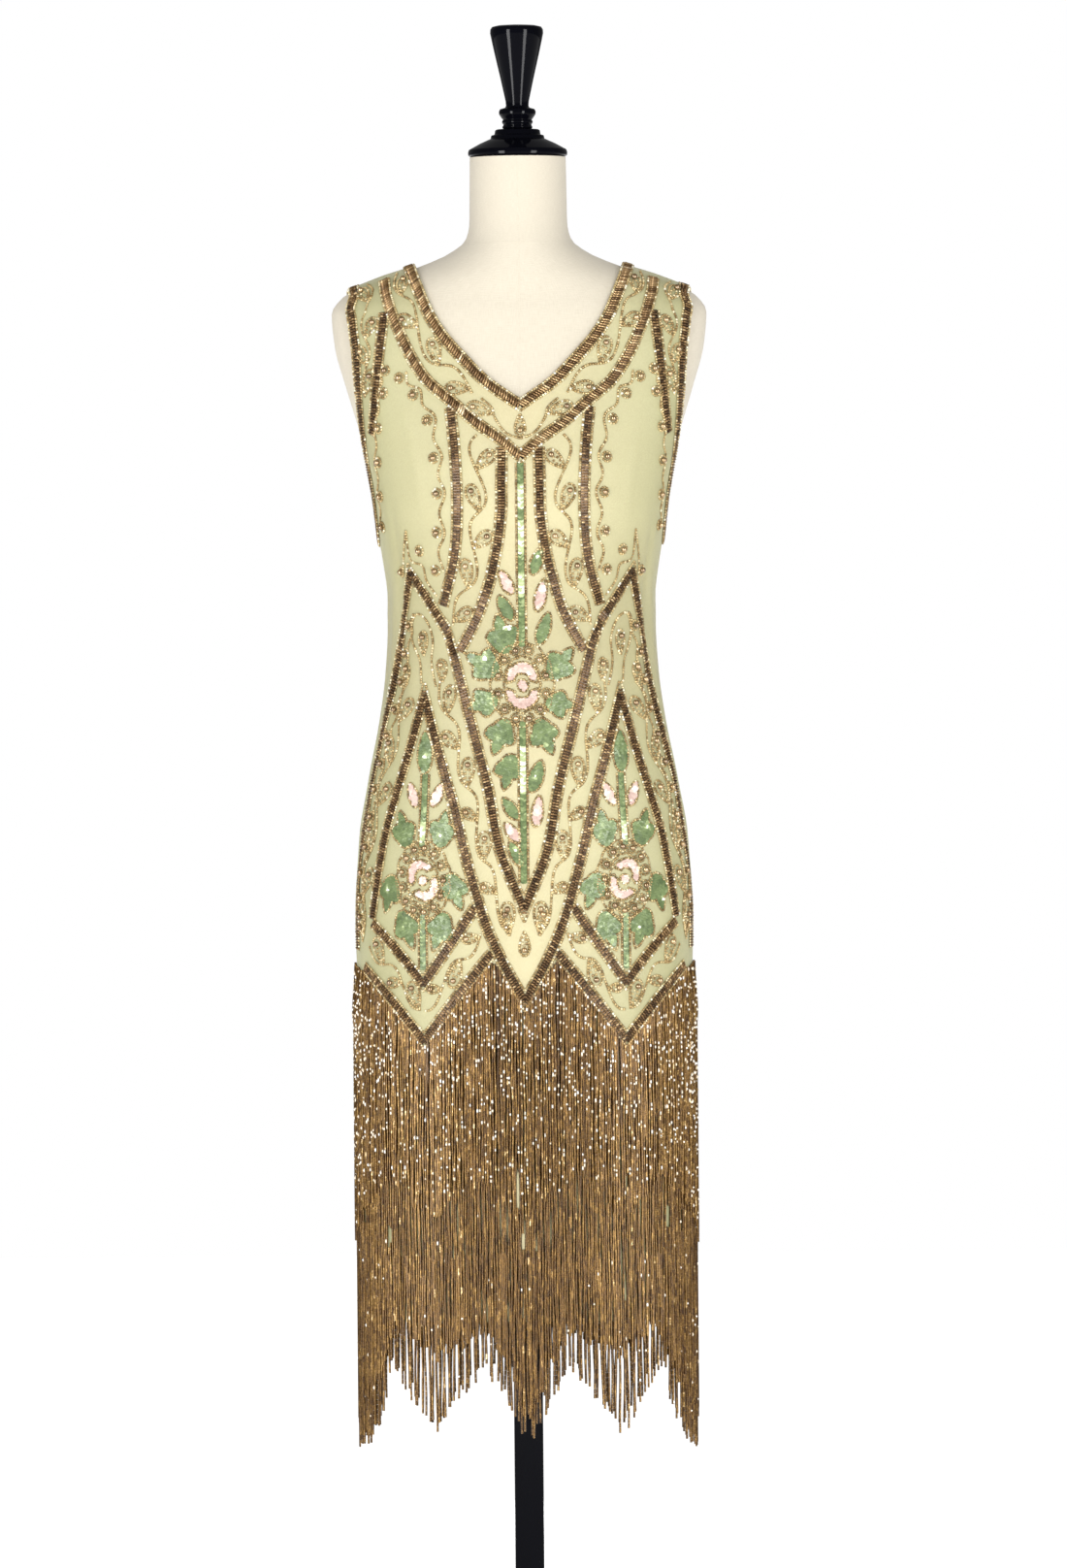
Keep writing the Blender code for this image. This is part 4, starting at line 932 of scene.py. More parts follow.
def bands_of(face):
    """(name, chains of trails, whether bugles slant, whether left and right are two nodes) of each band."""
    def halves(*legs):
        return [[drawn(face, side, leg) for leg in legs] for side in (LEFT, RIGHT)]

    def through_middle(chains):
        left, right = chains
        return [left + [turned_round(leg) for leg in reversed(right)]]

    offset = EDGE_BAND_OFFSET * face
    neckline = [[moved_beside(neckline_trail(face, s), -offset * s, s)] for s in (LEFT, RIGHT)]
    armholes = [[moved_beside(armhole_trail(face, s, ARMHOLE_BAND_SHARE), offset * s)] for s in (LEFT, RIGHT)]
    return [
        ("neckline_band", through_middle(neckline), True, False),
        ("yoke_band", through_middle(halves(NECK_BAND[face])), True, False),
        ("armhole_band", armholes, False, True),
        ("strap_band", halves(STRAP_BAND), False, True),
        ("princess_outer_band", halves(OUTER_PRINCESS[face]), False, True),
        ("princess_inner_band", halves(INNER_PRINCESS[face]), False, True),
        ("outer_chevron_band", through_middle(halves(OUTER_SIDE_LEG, OUTER_MIDDLE_LEG)), False, False),
        ("inner_chevron_band", through_middle(halves(INNER_SIDE_LEG, INNER_MIDDLE_LEG)), False, False),
        ("diamond_band", halves(*DIAMOND_LEGS), False, True),
        ("fringe_edge_band", halves(*FRINGE_EDGE_LEGS), False, True),
    ]


for face, word in WALLS:
    flanks, thread_and_shade_grounds = [], []
    for name, chains, slanted, paired in bands_of(face):
        columns = []
        for chain in chains:
            thread_and_shade_grounds.append(rows_of(chain, 0.0, THREAD_PITCH, THREAD_LIFT))
            if slanted:
                rungs = rows_of(chain, 0.0, RUNG_PITCH, SLANTED_LIFT)
                lean = unit(rungs.acrosses + rungs.alongs * SLANT)
                columns.append(Frames(rungs.points, lean, np.cross(rungs.ups, lean), rungs.ups))
            else:
                columns += [rows_of(chain, way * COLUMN_OFFSET, RUNG_PITCH, BEAD_LIFT) for way in (-1, 1)]
            flanks += [rows_of(chain, way * FLANK_OFFSET, SEED_PITCH, BEAD_LIFT) for way in (-1, 1)]
        rungs = stacked(columns)
        count = len(rungs.points)
        tints = dice.beta(2.0, 2.3, count)
        sizes = np.array(SLANTED_BUGLE if slanted else PLAIN_BUGLE) * dice.uniform(0.94, 1.05, (count, 3))
        glass = bronze_glass if slanted else brown_glass
        nodes = [f"{name}_{word}{half}" for half in (("_left", "_right") if paired else ("",))]
        joined_beads(f"{name}_bugles_{word}", cone_pattern(5, "Y"), rungs, sizes, glass, tints, *nodes)
    # Under each band lies a strip of thin slabs in the darkest brown. It stands for the couching thread, and
    # it is also painted shade that keeps the gaps between the bugles dark, as if in shadow.
    rows = stacked(thread_and_shade_grounds)
    slab = bmesh.new()
    bmesh.ops.create_cube(slab, size=1.0)
    joined_beads(
        f"band_thread_{word}", slab, rows, THREAD_SIZE, brown_glass, np.zeros(len(rows.points)), smooth=False
    )
    sewn_seeds(f"band_seeds_{word}", flanks, (0.0029, 0.0027, 0.0026), (1.5, 1.2))

# Vines, leaf loops and pearls.
# Between the bands, single lines of gold beads wander from side to side and send out leaf loops, each with a
# small pearl at its round end. Rows of ringed pearls follow the princess lines and the sides.
VINE_PITCH, VINE_LIFT = 0.0029, 0.0009
VINE_SAMPLES = 240
STRAP_SAMPLES = 60
LOOP_STEPS = 40
LOOP_BULGE, LOOP_FOOT, LOOP_PEARL = 0.62, 0.12, 0.77
INNER_LOOP_LENGTH, INNER_LOOP_WIDTH, INNER_LOOP_PITCH = 0.52, 0.42, 1.5
# A loop grows back from the vine to the other side of its bend. These are shares of that reach and its length.
LOOP_LEAD, LOOP_SWING, LOOP_REACH, LONGEST_LOOP = 0.21, 1.05, 1.75, 0.031
LOOP_SLIMNESS, WIDEST_LOOP = 0.56, 0.0145
PEARL_SIZE, PEARL_SINK = 0.0065, 0.42
RING_LIFT = 0.0008
Loop = namedtuple("Loop", "across height length width lean")


def loops(*rows):
    """Loops from rows of millimetres, with the lean in degrees."""
    return [Loop(*(size / 1000 for size in sizes), lean) for *sizes, lean in rows]


LOWER_LOOPS = loops((16, 774, 30, 11, 10), (-16, 774, 30, 11, -10), (0, 779, 26, 11, 180))
CENTRE_LOOPS = {
    FRONT: loops((0, 1323, 24, 11, 180), (29, 1323.5, 29, 15, 68), (-29, 1323.5, 29, 15, -68)) + LOWER_LOOPS,
    BACK: loops((0, 1373, 24, 11, 180), (27, 1367, 28, 12, 70), (-27, 1367, 28, 12, -70)) + LOWER_LOOPS,
}
SIDE_LOOPS = loops((103.8, 1070, 26, 12, 3), (85, 1042, 24, 12, 4), (120.7, 1040, 22, 11, 2))
PEARL_ROW = {FRONT: marks(
    (128, 1363.6), (113.3, 1345), (98.5, 1318), (91.7, 1278), (88.5, 1241), (89, 1200.8), (90.5, 1160.6),
)}
PEARL_ROW[BACK] = marks((125, 1392), (108, 1364), (98.5, 1328), (91.7, 1284)) + PEARL_ROW[FRONT][4:]
SIDE_PEARL_ROW = marks(
    (143, 1372), (144.9, 1348), (150, 1311.5), (150, 1276), (148, 1240), (146, 1208),
)
# The line that joins the vines of both sides under the neckline's point, as offsets from the yoke's point.
SCALLOP = marks((0, 18.9), (15, 25.2), (26.2, 40.4), (30, 52), (41, 62))
EXTRA_PEARLS = marks((107.5, 1181.8), (126.5, 1160))
SPIRE_LINES = [
    marks((124.5, 1157), (123.8, 1180), (121.5, 1203.9)),
    marks((121.5, 1203.9), (117, 1173.3), (104.3, 1166), (99.8, 1149.6), (89, 1133)),
    marks(
        (106.4, 1040.8), (107.9, 1064.5), (114.2, 1085.8), (114.5, 1104.7), (110.4, 1114.6), (101, 1108.2),
        (94.1, 1088.1), (95.5, 1062.1), (91.1, 1037.2),
    ),
]
FLANK_PEARLS, FLANK_PEARL_SPAN, FLANK_PEARL_OFFSET = 12, (0.06, 0.86), 0.0115
FLANK_LINE_SPAN, FLANK_LINE_OFFSET, FLANK_LINE_SWING = (0.04, 0.9), 0.0165, 0.002

pearl_glaze = tinted(
    "pearl glaze", {"Metallic": 0.5, "Coat Weight": 1.0, "Coat Roughness": 0.04},
    (0.0, 92, 68, 38), (0.5, 134, 106, 66), (1.0, 180, 152, 108),
)


def even_samples(trail, first, last, count=VINE_SAMPLES):
    return along_trail(trail, np.linspace(first, last, count) * trail.run[-1])[0]


def beads_on(trail, pitch=VINE_PITCH):
    count = max(2, round(trail.run[-1] / pitch))
    distances = (np.arange(count) + 0.5) * trail.run[-1] / count
    return frames_beside(trail, distances, np.zeros(count), VINE_LIFT)


def loops_on(face, tips, axes, lengths, widths):
    """(beads, places of pearls) of leaf loops. Each starts at its tip and grows along its axis."""
    tips, ups = settled(face, tips)
    axes = unit(axes - ups * (axes * ups).sum(axis=-1, keepdims=True))
    sides = np.cross(axes, ups)
    t = np.linspace(0.0, 2 * math.pi, LOOP_STEPS)
    beads = []
    for tip, axis, side, length, width in zip(tips, axes, sides, lengths, widths):
        along = length * (1 - np.cos(t)) / 2
        across = width * LOOP_BULGE * np.sin(t) * np.sin(t / 2)
        outline = tip + axis * along[:, None] + side * across[:, None]
        beads.append(beads_on(trail_of(face, outline)))
        along = length * LOOP_FOOT + along * INNER_LOOP_LENGTH
        inner = tip + axis * along[:, None] + side * (across * INNER_LOOP_WIDTH)[:, None]
        beads.append(beads_on(trail_of(face, inner), VINE_PITCH * INNER_LOOP_PITCH))
    return beads, tips + axes * np.reshape(np.array(lengths) * LOOP_PEARL, (-1, 1))


def vine(face, first_edge, second_edge, waves, start_side, middle, swing):
    """(beads, places of pearls) of a vine between two edges, with a leaf loop in each of its bends."""
    last = VINE_SAMPLES - 1
    bend = start_side * np.sin(2 * math.pi * waves * np.linspace(0.0, 1.0, VINE_SAMPLES))
    line = first_edge + (second_edge - first_edge) * (middle + swing * bend)[:, None]
    line = settled(face, line)[0]
    tips, axes, lengths = [], [], []
    for k in range(int(2 * waves)):
        share = (k + 0.5) / (2 * waves)
        i = round(share * last)
        j = min(round((share + LOOP_LEAD / waves) * last), last)
        centre = first_edge[i] + (second_edge[i] - first_edge[i]) * (middle - LOOP_SWING * swing * bend[i])
        tips.append(line[j])
        axes.append(centre - line[j])
        lengths.append(min(LOOP_REACH * float(np.linalg.norm(axes[-1])), LONGEST_LOOP))
    widths = [min(LOOP_SLIMNESS * length, WIDEST_LOOP) for length in lengths]
    beads, pearls = loops_on(face, np.array(tips), np.array(axes), lengths, widths)
    return [beads_on(trail_of(face, line))] + beads, pearls


def ringed(face, places, radius=0.0050):
    """A ring of eleven seed beads round each pearl."""
    places, ups = settled(face, places)
    east = unit(np.cross(ups, (0.0, 0.0, 1.0)))
    north = np.cross(ups, east)
    beads = []
    for turn in np.arange(11) * 2 * math.pi / 11:
        spoke = east * math.cos(turn) + north * math.sin(turn)
        beads.append(frames_at(face, places + spoke * radius, np.cross(ups, spoke), RING_LIFT))
    return beads


def pearl_row(face, side, places, toward, gap, swing):
    """(beads, places of pearls) of a row of ringed pearls with a wavy line of beads beside it."""
    row = drawn(face, side, places)
    pearls = spots_in_space(face, side, places)
    at = [row.run[np.argmin(np.linalg.norm(row.points - pearl, axis=1))] for pearl in pearls]
    distances = np.linspace(0.0, row.run[-1], VINE_SAMPLES)
    phase = np.interp(distances, at, np.arange(len(at)))
    offsets = toward * side * face * (gap + swing * np.cos(2 * math.pi * phase))
    line = frames_beside(row, distances, offsets).points
    return [beads_on(trail_of(face, line)), *ringed(face, pearls)], pearls


def sewn_pearls(name, face, places):
    """Pearls with their undersides sunk into the cloth."""
    places, ups = settled(face, np.concatenate(places), PEARL_SIZE * PEARL_SINK)
    north = unit(np.cross(ups, np.cross((0.0, 0.0, 1.0), ups)))
    ball = bmesh.new()
    bmesh.ops.create_icosphere(ball, subdivisions=2, radius=0.5)
    frames = Frames(places, np.cross(north, ups), north, ups)
    joined_beads(name, ball, frames, PEARL_SIZE, pearl_glaze, dice.uniform(0.2, 0.9, len(places)))


for face, word in WALLS:
    beads, pearls = [], []

    def keep(found):
        beads.extend(found[0])
        pearls.append(found[1])

    for side in (LEFT, RIGHT):
        def part(spots, first, last, count=VINE_SAMPLES):
            return even_samples(drawn(face, side, spots), first, last, count)

        def upward(spots, first, last):
            return even_samples(turned_round(drawn(face, side, spots)), first, last)

        neck = even_samples(neckline_trail(face, side), 0.02, 0.73)
        armhole = even_samples(armhole_trail(face, side), 0.02, 0.50)
        strap = np.vstack([
            part(NECK_BAND[face], 0.0, 0.13, STRAP_SAMPLES),
            part(STRAP_BAND, 0.02, 0.62, VINE_SAMPLES - STRAP_SAMPLES),
        ])
        for between in (
            (neck, part(NECK_BAND[face], 0.02, 0.75), 2.0, 1, 0.56, 0.16),
            (strap, armhole, 2.0, -1, 0.46, 0.13),
            (part(INNER_PRINCESS[face], 0.0, 0.97), part(OUTER_PRINCESS[face], 0.08, 1.0), 2.5, 1, 0.5, 0.17),
            (part(OUTER_MIDDLE_LEG, 0.30, 0.98), part(INNER_MIDDLE_LEG, 0.0, 0.86), 3.5, 1, 0.5, 0.15),
            (upward(OUTER_SIDE_LEG, 0.26, 0.97), upward(INNER_SIDE_LEG, 0.0, 1.12), 3.0, -1, 0.5, 0.14),
            *(
                (part(diamond, 0.02, 0.98), part(fringe_edge, 0.02, 0.94), 1.5, 1, 0.5, 0.15)
                for diamond, fringe_edge in zip(DIAMOND_LEGS, FRINGE_EDGE_LEGS)
            ),
        ):
            keep(vine(face, *between))
        keep(pearl_row(face, side, PEARL_ROW[face], 1, gap=0.0062, swing=0.0034))
        keep(pearl_row(face, side, SIDE_PEARL_ROW, -1, gap=0.0050, swing=0.0028))
        point = NECK_BAND[face][-1].height
        scallop = [Spot(spot.across, spot.height + point) for spot in SCALLOP]
        beads.append(beads_on(drawn(face, side, scallop)))
        leg = drawn(face, side, OUTER_SIDE_LEG)
        distances = np.linspace(*FLANK_PEARL_SPAN, FLANK_PEARLS) * leg.run[-1]
        offsets = np.full(FLANK_PEARLS, -FLANK_PEARL_OFFSET * side * face)
        places = frames_beside(leg, distances, offsets).points
        keep((ringed(face, places), places))
        waves = np.sin(np.linspace(0.0, 2 * FLANK_PEARLS * math.pi, VINE_SAMPLES))
        distances = np.linspace(*FLANK_LINE_SPAN, VINE_SAMPLES) * leg.run[-1]
        offsets = -side * face * (FLANK_LINE_OFFSET + FLANK_LINE_SWING * waves)
        beads.append(beads_on(trail_of(face, frames_beside(leg, distances, offsets).points)))
        places = spots_in_space(face, side, EXTRA_PEARLS)
        keep((ringed(face, places), places))
        beads.extend(beads_on(drawn(face, side, line)) for line in SPIRE_LINES)
    mirrored = [Loop(-loop.across, *loop[1:4], -loop.lean) for loop in SIDE_LOOPS]
    across, heights, lengths, widths, leans = np.array(CENTRE_LOOPS[face] + SIDE_LOOPS + mirrored).T
    leans = np.radians(leans)
    tips = spots_in_space(face, 1, np.stack([across, heights], axis=-1))
    keep(loops_on(face, tips, np.stack([np.sin(leans), leans * 0, np.cos(leans)], axis=-1), lengths, widths))
    sewn_seeds(f"vine_beads_{word}", beads, (0.0030, 0.0028, 0.0027), (2.2, 2.1))
    sewn_pearls(f"pearls_{word}", face, pearls)

# Sequin flowers, leaves and stems.
# Three flowers lie on each wall of the dress: one in the middle at the waist and two on the hips. Their
# petals, leaves and stems are filled with small overlapping sequins, inside outlines of gold beads.
SEQUIN_SIZE = (0.0050, 0.0050, 0.00035)
SEQUIN_PITCH, SEQUIN_LIFT = 0.0029, 0.0011
ROW_PITCH = 0.86
OUTLINE_STEP, OUTLINE_MARGIN = 0.0006, 0.0017
RING_MARGIN, RING_WAVE, ROSE_RING = 0.0074, 0.0008, 0.0052
STEM_EDGE, STEM_ROW, STEM_PITCH = 0.0046, 0.0010, 0.0020
GLINT_SIZE = 0.0032
Motif = namedtuple("Motif", "shape colour across height length width lean")


def motifs(*rows):
    """Motifs from rows of millimetres, with the lean in degrees."""
    return [
        Motif(shape, colour, *(size / 1000 for size in sizes), lean)
        for shape, colour, *sizes, lean in rows
    ]


CENTRE_MOTIFS = motifs(
    ("leaf", "green", 17, 1170, 32, 13.2, 20), ("leaf", "pink", -16, 1147, 28, 12.2, -25),
    ("leaf", "pink", 20.5, 1133, 36, 12.2, 12), ("leaf", "green", -17, 1120, 30, 14.2, -28),
    ("leaf", "green", 23.5, 1098, 36, 14.2, 18), ("trefoil", "green", -21.5, 1093, 42, 36, -12),
    ("trefoil", "green", -42.5, 1061, 40, 36, -58), ("trefoil", "green", 41.5, 1062, 40, 35, 40),
    ("trefoil", "green", -43, 1019, 35, 32, -110), ("trefoil", "green", 42, 1018, 34, 30, 96),
    ("trefoil", "green", -24, 983, 39, 34, -158), ("trefoil", "green", 24, 983, 39, 34, 158),
    ("trefoil", "green", -15.5, 946, 37.4, 31.4, -165), ("leaf", "green", 14, 942, 36, 16.2, 20),
    ("leaf", "pink", 15, 905, 34, 12.2, 8), ("leaf", "green", -13.5, 908, 28, 13.2, -35),
    ("leaf", "pink", -12, 883, 26, 12.2, -38), ("leaf", "green", -8.5, 861, 30, 12.2, -24),
    ("crescent", "pink", 0, 1046.5, 22.5, 33.5, 0), ("crescent", "pink", 0, 1029, 22.5, 34.5, 180),
    ("leaf", "pink", 1, 1038, 11.5, 13.5, 70),
)
SIDE_MOTIFS = motifs(
    ("leaf", "green", 103.4, 968, 46, 18.2, 0), ("leaf", "pink", 116.5, 923, 28, 12.2, 22),
    ("leaf", "pink", 90.5, 923, 28, 12.2, -26), ("trefoil", "green", 127, 888, 39.6, 31.4, 16),
    ("trefoil", "green", 85, 888, 39.6, 31.4, -12), ("trefoil", "green", 143, 818, 39.6, 31.4, 165),
    ("trefoil", "green", 73, 820, 39.6, 31.4, -160), ("trefoil", "green", 124, 780, 41.8, 33.6, 200),
    ("trefoil", "green", 90.5, 778, 41.8, 33.6, 160), ("crescent", "pink", 110, 840.5, 19.8, 31.2, 35),
    ("crescent", "pink", 104, 825.5, 19.8, 31.2, 215), ("leaf", "pink", 107, 833, 10, 11, 40),
)
Flower = namedtuple("Flower", "across height half_width half_height pearls")
CENTRE_FLOWER = Flower(0.0, 1.0390, 0.0262, 0.0370, 12)
SIDE_FLOWER = Flower(0.1076, 0.8336, 0.0246, 0.0340, 13)
# A stem's bright parts are painted highlights: spans of height in metres where its sequins are painted
# near-white, as if shining.
Stem = namedtuple("Stem", "spots bright")
UPPER_STEM = {
    FRONT: Stem(marks((0, 1272), (0, 1200), (0, 1080)), [(1.251, 1.224), (1.2135, 1.178), (1.158, 1.131)]),
    BACK: Stem(marks((0, 1319), (0, 1200), (0, 1080)), [(1.290, 1.262), (1.240, 1.205), (1.175, 1.140)]),
}
LOWER_STEM = Stem(marks((0, 999), (0, 930), (0, 830)), [(0.975, 0.925)])
SIDE_STEMS = [
    Stem(marks((103.4, 945), (105, 910), (107.6, 870)), [(0.895, 0.875)]),
    Stem(marks((107.6, 797), (107.6, 770), (107.6, 740)), []),
]
SEQUIN_GLOSS = {"Metallic": 0.1, "Coat Weight": 0.1, "Coat Roughness": 0.2}

# The near-white top stop of each sequin ramp is a painted highlight. The painted glint patches and the stems'
# bright spans reach it.
sequin_finishes = {
    "green": tinted(
        "green sequins", SEQUIN_GLOSS, (0.0, 52, 68, 30), (0.35, 78, 97, 48), (0.72, 110, 128, 75),
        (0.92, 176, 190, 134), (1.0, 250, 252, 240), rough=0.36,
    ),
    "pink": tinted(
        "pink sequins", SEQUIN_GLOSS, (0.0, 160, 128, 118), (0.45, 190, 162, 150), (0.8, 214, 194, 180),
        (1.0, 252, 246, 238), rough=0.36,
    ),
}


def leaf_outline(length, width):
    t = np.linspace(0.0, 2 * math.pi, 72, endpoint=False)
    along = -np.cos(t)
    across = np.sign(np.sin(t)) * np.abs(np.sin(t)) ** 1.25 * (1 - 0.18 * along)
    return np.stack([across * width / 2, along * length / 2], axis=-1)


def trefoil_outline(length, width):
    """Three blunt lobes over a round foot."""
    t = np.linspace(-math.pi, math.pi, 120, endpoint=False)
    reach = np.where(np.abs(t) > 1.7, 0.42, 0.50)
    for lobe, size, half in ((0.0, 1.0, 0.55), (1.15, 0.84, 0.68), (-1.20, 0.76, 0.68)):
        reach = np.maximum(reach, 0.52 + (size - 0.52) * np.maximum(0.0, 1 - np.abs(t - lobe) / half) ** 0.85)
    return np.stack([np.sin(t) * reach * width / 1.5, (np.cos(t) * reach - 0.26) * length / 1.44], axis=-1)


def crescent_outline(length, width):
    """Half a ring of petal, open below."""
    over = np.radians(np.linspace(-12.0, 192.0, 44))
    outer = np.stack([np.cos(over) * width / 2, np.sin(over) * length * 0.82 - length * 0.1], axis=-1)
    under = over[::-1]
    inner = np.stack([np.cos(under) * width * 0.23, np.sin(under) * length * 0.26 - length * 0.08], axis=-1)
    return np.vstack([outer, inner])


OUTLINES = {"leaf": leaf_outline, "trefoil": trefoil_outline, "crescent": crescent_outline}


def even_outline(outline):
    """A closed outline with its points a fraction of a bead apart."""
    closed = np.vstack([outline, outline[:1]])
    run = np.concatenate([[0.0], np.cumsum(np.linalg.norm(np.diff(closed, axis=0), axis=1))])
    wanted = np.linspace(0.0, run[-1], max(24, round(run[-1] / OUTLINE_STEP)))
    return np.stack([np.interp(wanted, run, closed[:, k]) for k in (0, 1)], axis=-1)


def filling(outline):
    """Places of sequins in rows inside an outline."""
    low, high = outline.min(axis=0), outline.max(axis=0)
    rows = np.arange(low[1], high[1], SEQUIN_PITCH * ROW_PITCH)
    grid = np.array([
        (x, y) for i, y in enumerate(rows)
        for x in np.arange(low[0] + (i % 2) * SEQUIN_PITCH / 2, high[0], SEQUIN_PITCH)
    ])
    a, b = outline[:-1], outline[1:]
    crosses = (a[None, :, 1] > grid[:, None, 1]) != (b[None, :, 1] > grid[:, None, 1])
    slope = (b[:, 0] - a[:, 0]) / np.where(abs(b[:, 1] - a[:, 1]) < 1e-9, 1e-9, b[:, 1] - a[:, 1])
    left = grid[:, None, 0] < a[None, :, 0] + (grid[:, None, 1] - a[None, :, 1]) * slope[None]
    inside = (crosses & left).sum(axis=1) % 2 == 1
    near = np.linalg.norm(grid[:, None] - outline[None], axis=2).min(axis=1)
    return grid[inside & (near > OUTLINE_MARGIN)]


def in_plane(face, side, motif, places, lean=0.0):
    """Local places of a motif as points near the cloth."""
    centre, up = settled(face, spots_in_space(face, side, [(motif.across, motif.height)]))
    north = unit(np.cross(up, np.cross((0.0, 0.0, 1.0), up)))
    east = np.cross(north, up) * face * side
    lean = math.radians(lean)
    u = places[:, :1] * math.cos(lean) + places[:, 1:] * math.sin(lean)
    v = places[:, 1:] * math.cos(lean) - places[:, :1] * math.sin(lean)
    return centre + east * u + north * v


def tilted(frames, spread, lean):
    """Frames tipped at random, as loosely sewn sequins are, and leaning back along their row."""
    tips = dice.normal(0.0, spread, (2, len(frames.points), 1))
    ups = unit(frames.ups + frames.acrosses * tips[0] + frames.alongs * (tips[1] - lean))
    acrosses = unit(np.cross(frames.alongs, ups))
    return Frames(frames.points, acrosses, np.cross(ups, acrosses), ups)


def on_both_sides(middle, sideways):
    return [(1, each) for each in middle] + [(side, each) for side in (LEFT, RIGHT) for each in sideways]


for face, word in WALLS:
    outlines, ring_pearls = [], []
    sequins, shares = {"green": [], "pink": []}, {"green": [], "pink": []}
    for side, motif in on_both_sides(CENTRE_MOTIFS, SIDE_MOTIFS):
        outline = even_outline(OUTLINES[motif.shape](motif.length, motif.width))
        edge = settled(face, in_plane(face, side, motif, outline, motif.lean))[0]
        outlines.append(beads_on(trail_of(face, edge)))
        inside = filling(outline)
        inside = inside + dice.normal(0.0, 0.0002, inside.shape)
        spots = in_plane(face, side, motif, inside, motif.lean)
        frames = frames_at(face, spots, np.tile((0.0, 0.0, 1.0), (len(spots), 1)), SEQUIN_LIFT)
        sequins[motif.colour].append(tilted(frames, 0.07, 0.1))
        # Painted highlight: most motifs get one round patch where the sequins' tints are raised toward the
        # near-white top stop, as a glint.
        glint = np.array([dice.uniform(-0.5, 0.5), dice.uniform(-0.5, 0.5)])
        glint = glint * (motif.width, motif.length) * 0.5
        painted_glint = np.exp(-(((inside - glint) / GLINT_SIZE) ** 2).sum(axis=1))
        streak = 0.10 * np.sin(inside[:, 1] / 0.0045 + dice.uniform(0, 6))
        painted_glint = painted_glint * (0.55 if dice.uniform() < 0.65 else 0.12)
        shares[motif.colour].append(np.clip(dice.normal(0.50, 0.10, len(spots)) + streak + painted_glint, 0.0, 1.0))
    for side, flower in on_both_sides([CENTRE_FLOWER], [SIDE_FLOWER]):
        def ring(turns, margin=0.0):
            across, up = flower.half_width + margin, flower.half_height + margin
            places = np.stack([np.cos(turns) * across, np.sin(turns) * up], axis=-1)
            return in_plane(face, side, flower, places)

        ring_pearls.append(ring(np.arange(flower.pearls) * 2 * math.pi / flower.pearls + 0.26))
        outlines += ringed(face, ring_pearls[-1], ROSE_RING)
        around = np.linspace(0.0, 2 * math.pi, 160)
        for margin in (-RING_MARGIN, RING_MARGIN):
            line = ring(around, margin + RING_WAVE * np.cos(around * flower.pearls))
            outlines.append(beads_on(trail_of(face, line)))
    for side, stem in on_both_sides([UPPER_STEM[face], LOWER_STEM], SIDE_STEMS):
        line = drawn(face, side, stem.spots)
        outlines += [rows_of([line], way * STEM_EDGE, VINE_PITCH, VINE_LIFT) for way in (-1, 1)]
        frames = stacked([rows_of([line], way * STEM_ROW, STEM_PITCH, BEAD_LIFT) for way in (-1, 1)])
        heights = frames.points[:, 2]
        # Painted highlight: in the bright spans the stem's sequins are painted near-white.
        bright = np.zeros(len(heights), bool)
        for top, bottom in stem.bright:
            bright |= (heights < top) & (heights > bottom)
        sequins["green"].append(tilted(frames, 0.05, 0.18))
        dull = dice.uniform(0.3, 0.85, len(heights))
        shares["green"].append(np.where(bright, dice.uniform(0.85, 1.0, len(heights)), dull))
    sewn_seeds(f"outline_beads_{word}", outlines, (0.0028, 0.0027, 0.0025), (1.3, 2.2))
    for colour, finish in sequin_finishes.items():
        joined_beads(
            f"{colour}_sequins_{word}", cone_pattern(6, top_radius=0.40), stacked(sequins[colour]),
            SEQUIN_SIZE, finish, np.concatenate(shares[colour]), smooth=False,
        )
    sewn_pearls(f"flower_pearls_{word}", face, ring_pearls)

# Beaded fringe.
# Strings of bronze glass bugles hang in three tiers below the zigzag band, dense enough to hide the cloth.
# Each tier ends in points, and the strings end unevenly. Among them lie small silver-lined beads whose
# near-white colour and faint glow are painted highlights.
ZIGZAG_ROOTS = marks(
    (0, 704.5), (23, 740), (35, 753), (76, 705), (107, 664), (140, 706), (169, 742), (174, 751.6),
)
ROOT_RISE, SKIRT_LEVEL = 0.006, 0.6640
# Strands close to these places across are darker above a height, below the zigzag's points.
DARK_STRAND_LINES, DARK_STRAND_TOP, DARK_STRAND_HALF = (-0.0290, 0.0345, 0.0990, -0.1030), 0.57, 0.0021
# Narrow places where the strings part and the cloth shows.
Slit = namedtuple("Slit", "across top bottom half_width")
SLITS = in_metres(
    Slit,
    (-8.9, 525, 487, 1.8), (-5, 461, 372, 1.3), (105, 523, 506, 1.7), (148, 487, 462, 1.8),
    (162, 479, 460, 1.7), (-170, 486, 468, 2), (-145, 468, 449, 2), (104, 430, 390, 1.5),
)
Tier = namedtuple("Tier", "name roots ends strands bead width lift jitter tone doubled")
TIERS = [
    Tier(
        "upper", ZIGZAG_ROOTS, marks((0, 468), (30, 505), (60, 520), (100, 470), (140, 520), (175, 450)),
        160, 0.0048, 0.0029, 0.0038, 0.006, 0.47, False,
    ),
    Tier(
        "middle", ZIGZAG_ROOTS,
        marks((0, 262), (32, 336), (46, 352), (98, 330), (140, 356), (154, 310), (175, 260)),
        186, 0.0074, 0.0034, 0.0021, 0.008, 0.40, False,
    ),
    Tier(
        "hem", marks((0, 450), (90, 440), (175, 450)),
        marks((0, 233), (45, 320), (98, 250), (145, 322), (152, 276), (164, 244), (176, 231.6)),
        112, 0.0052, 0.0031, 0.0010, 0.007, 0.40, True,
    ),
]
SIDE_ANGLE, SKIRT_STEPS = math.radians(89.6), 400
ROOT_LIFT, HANG = 0.0012, 0.05
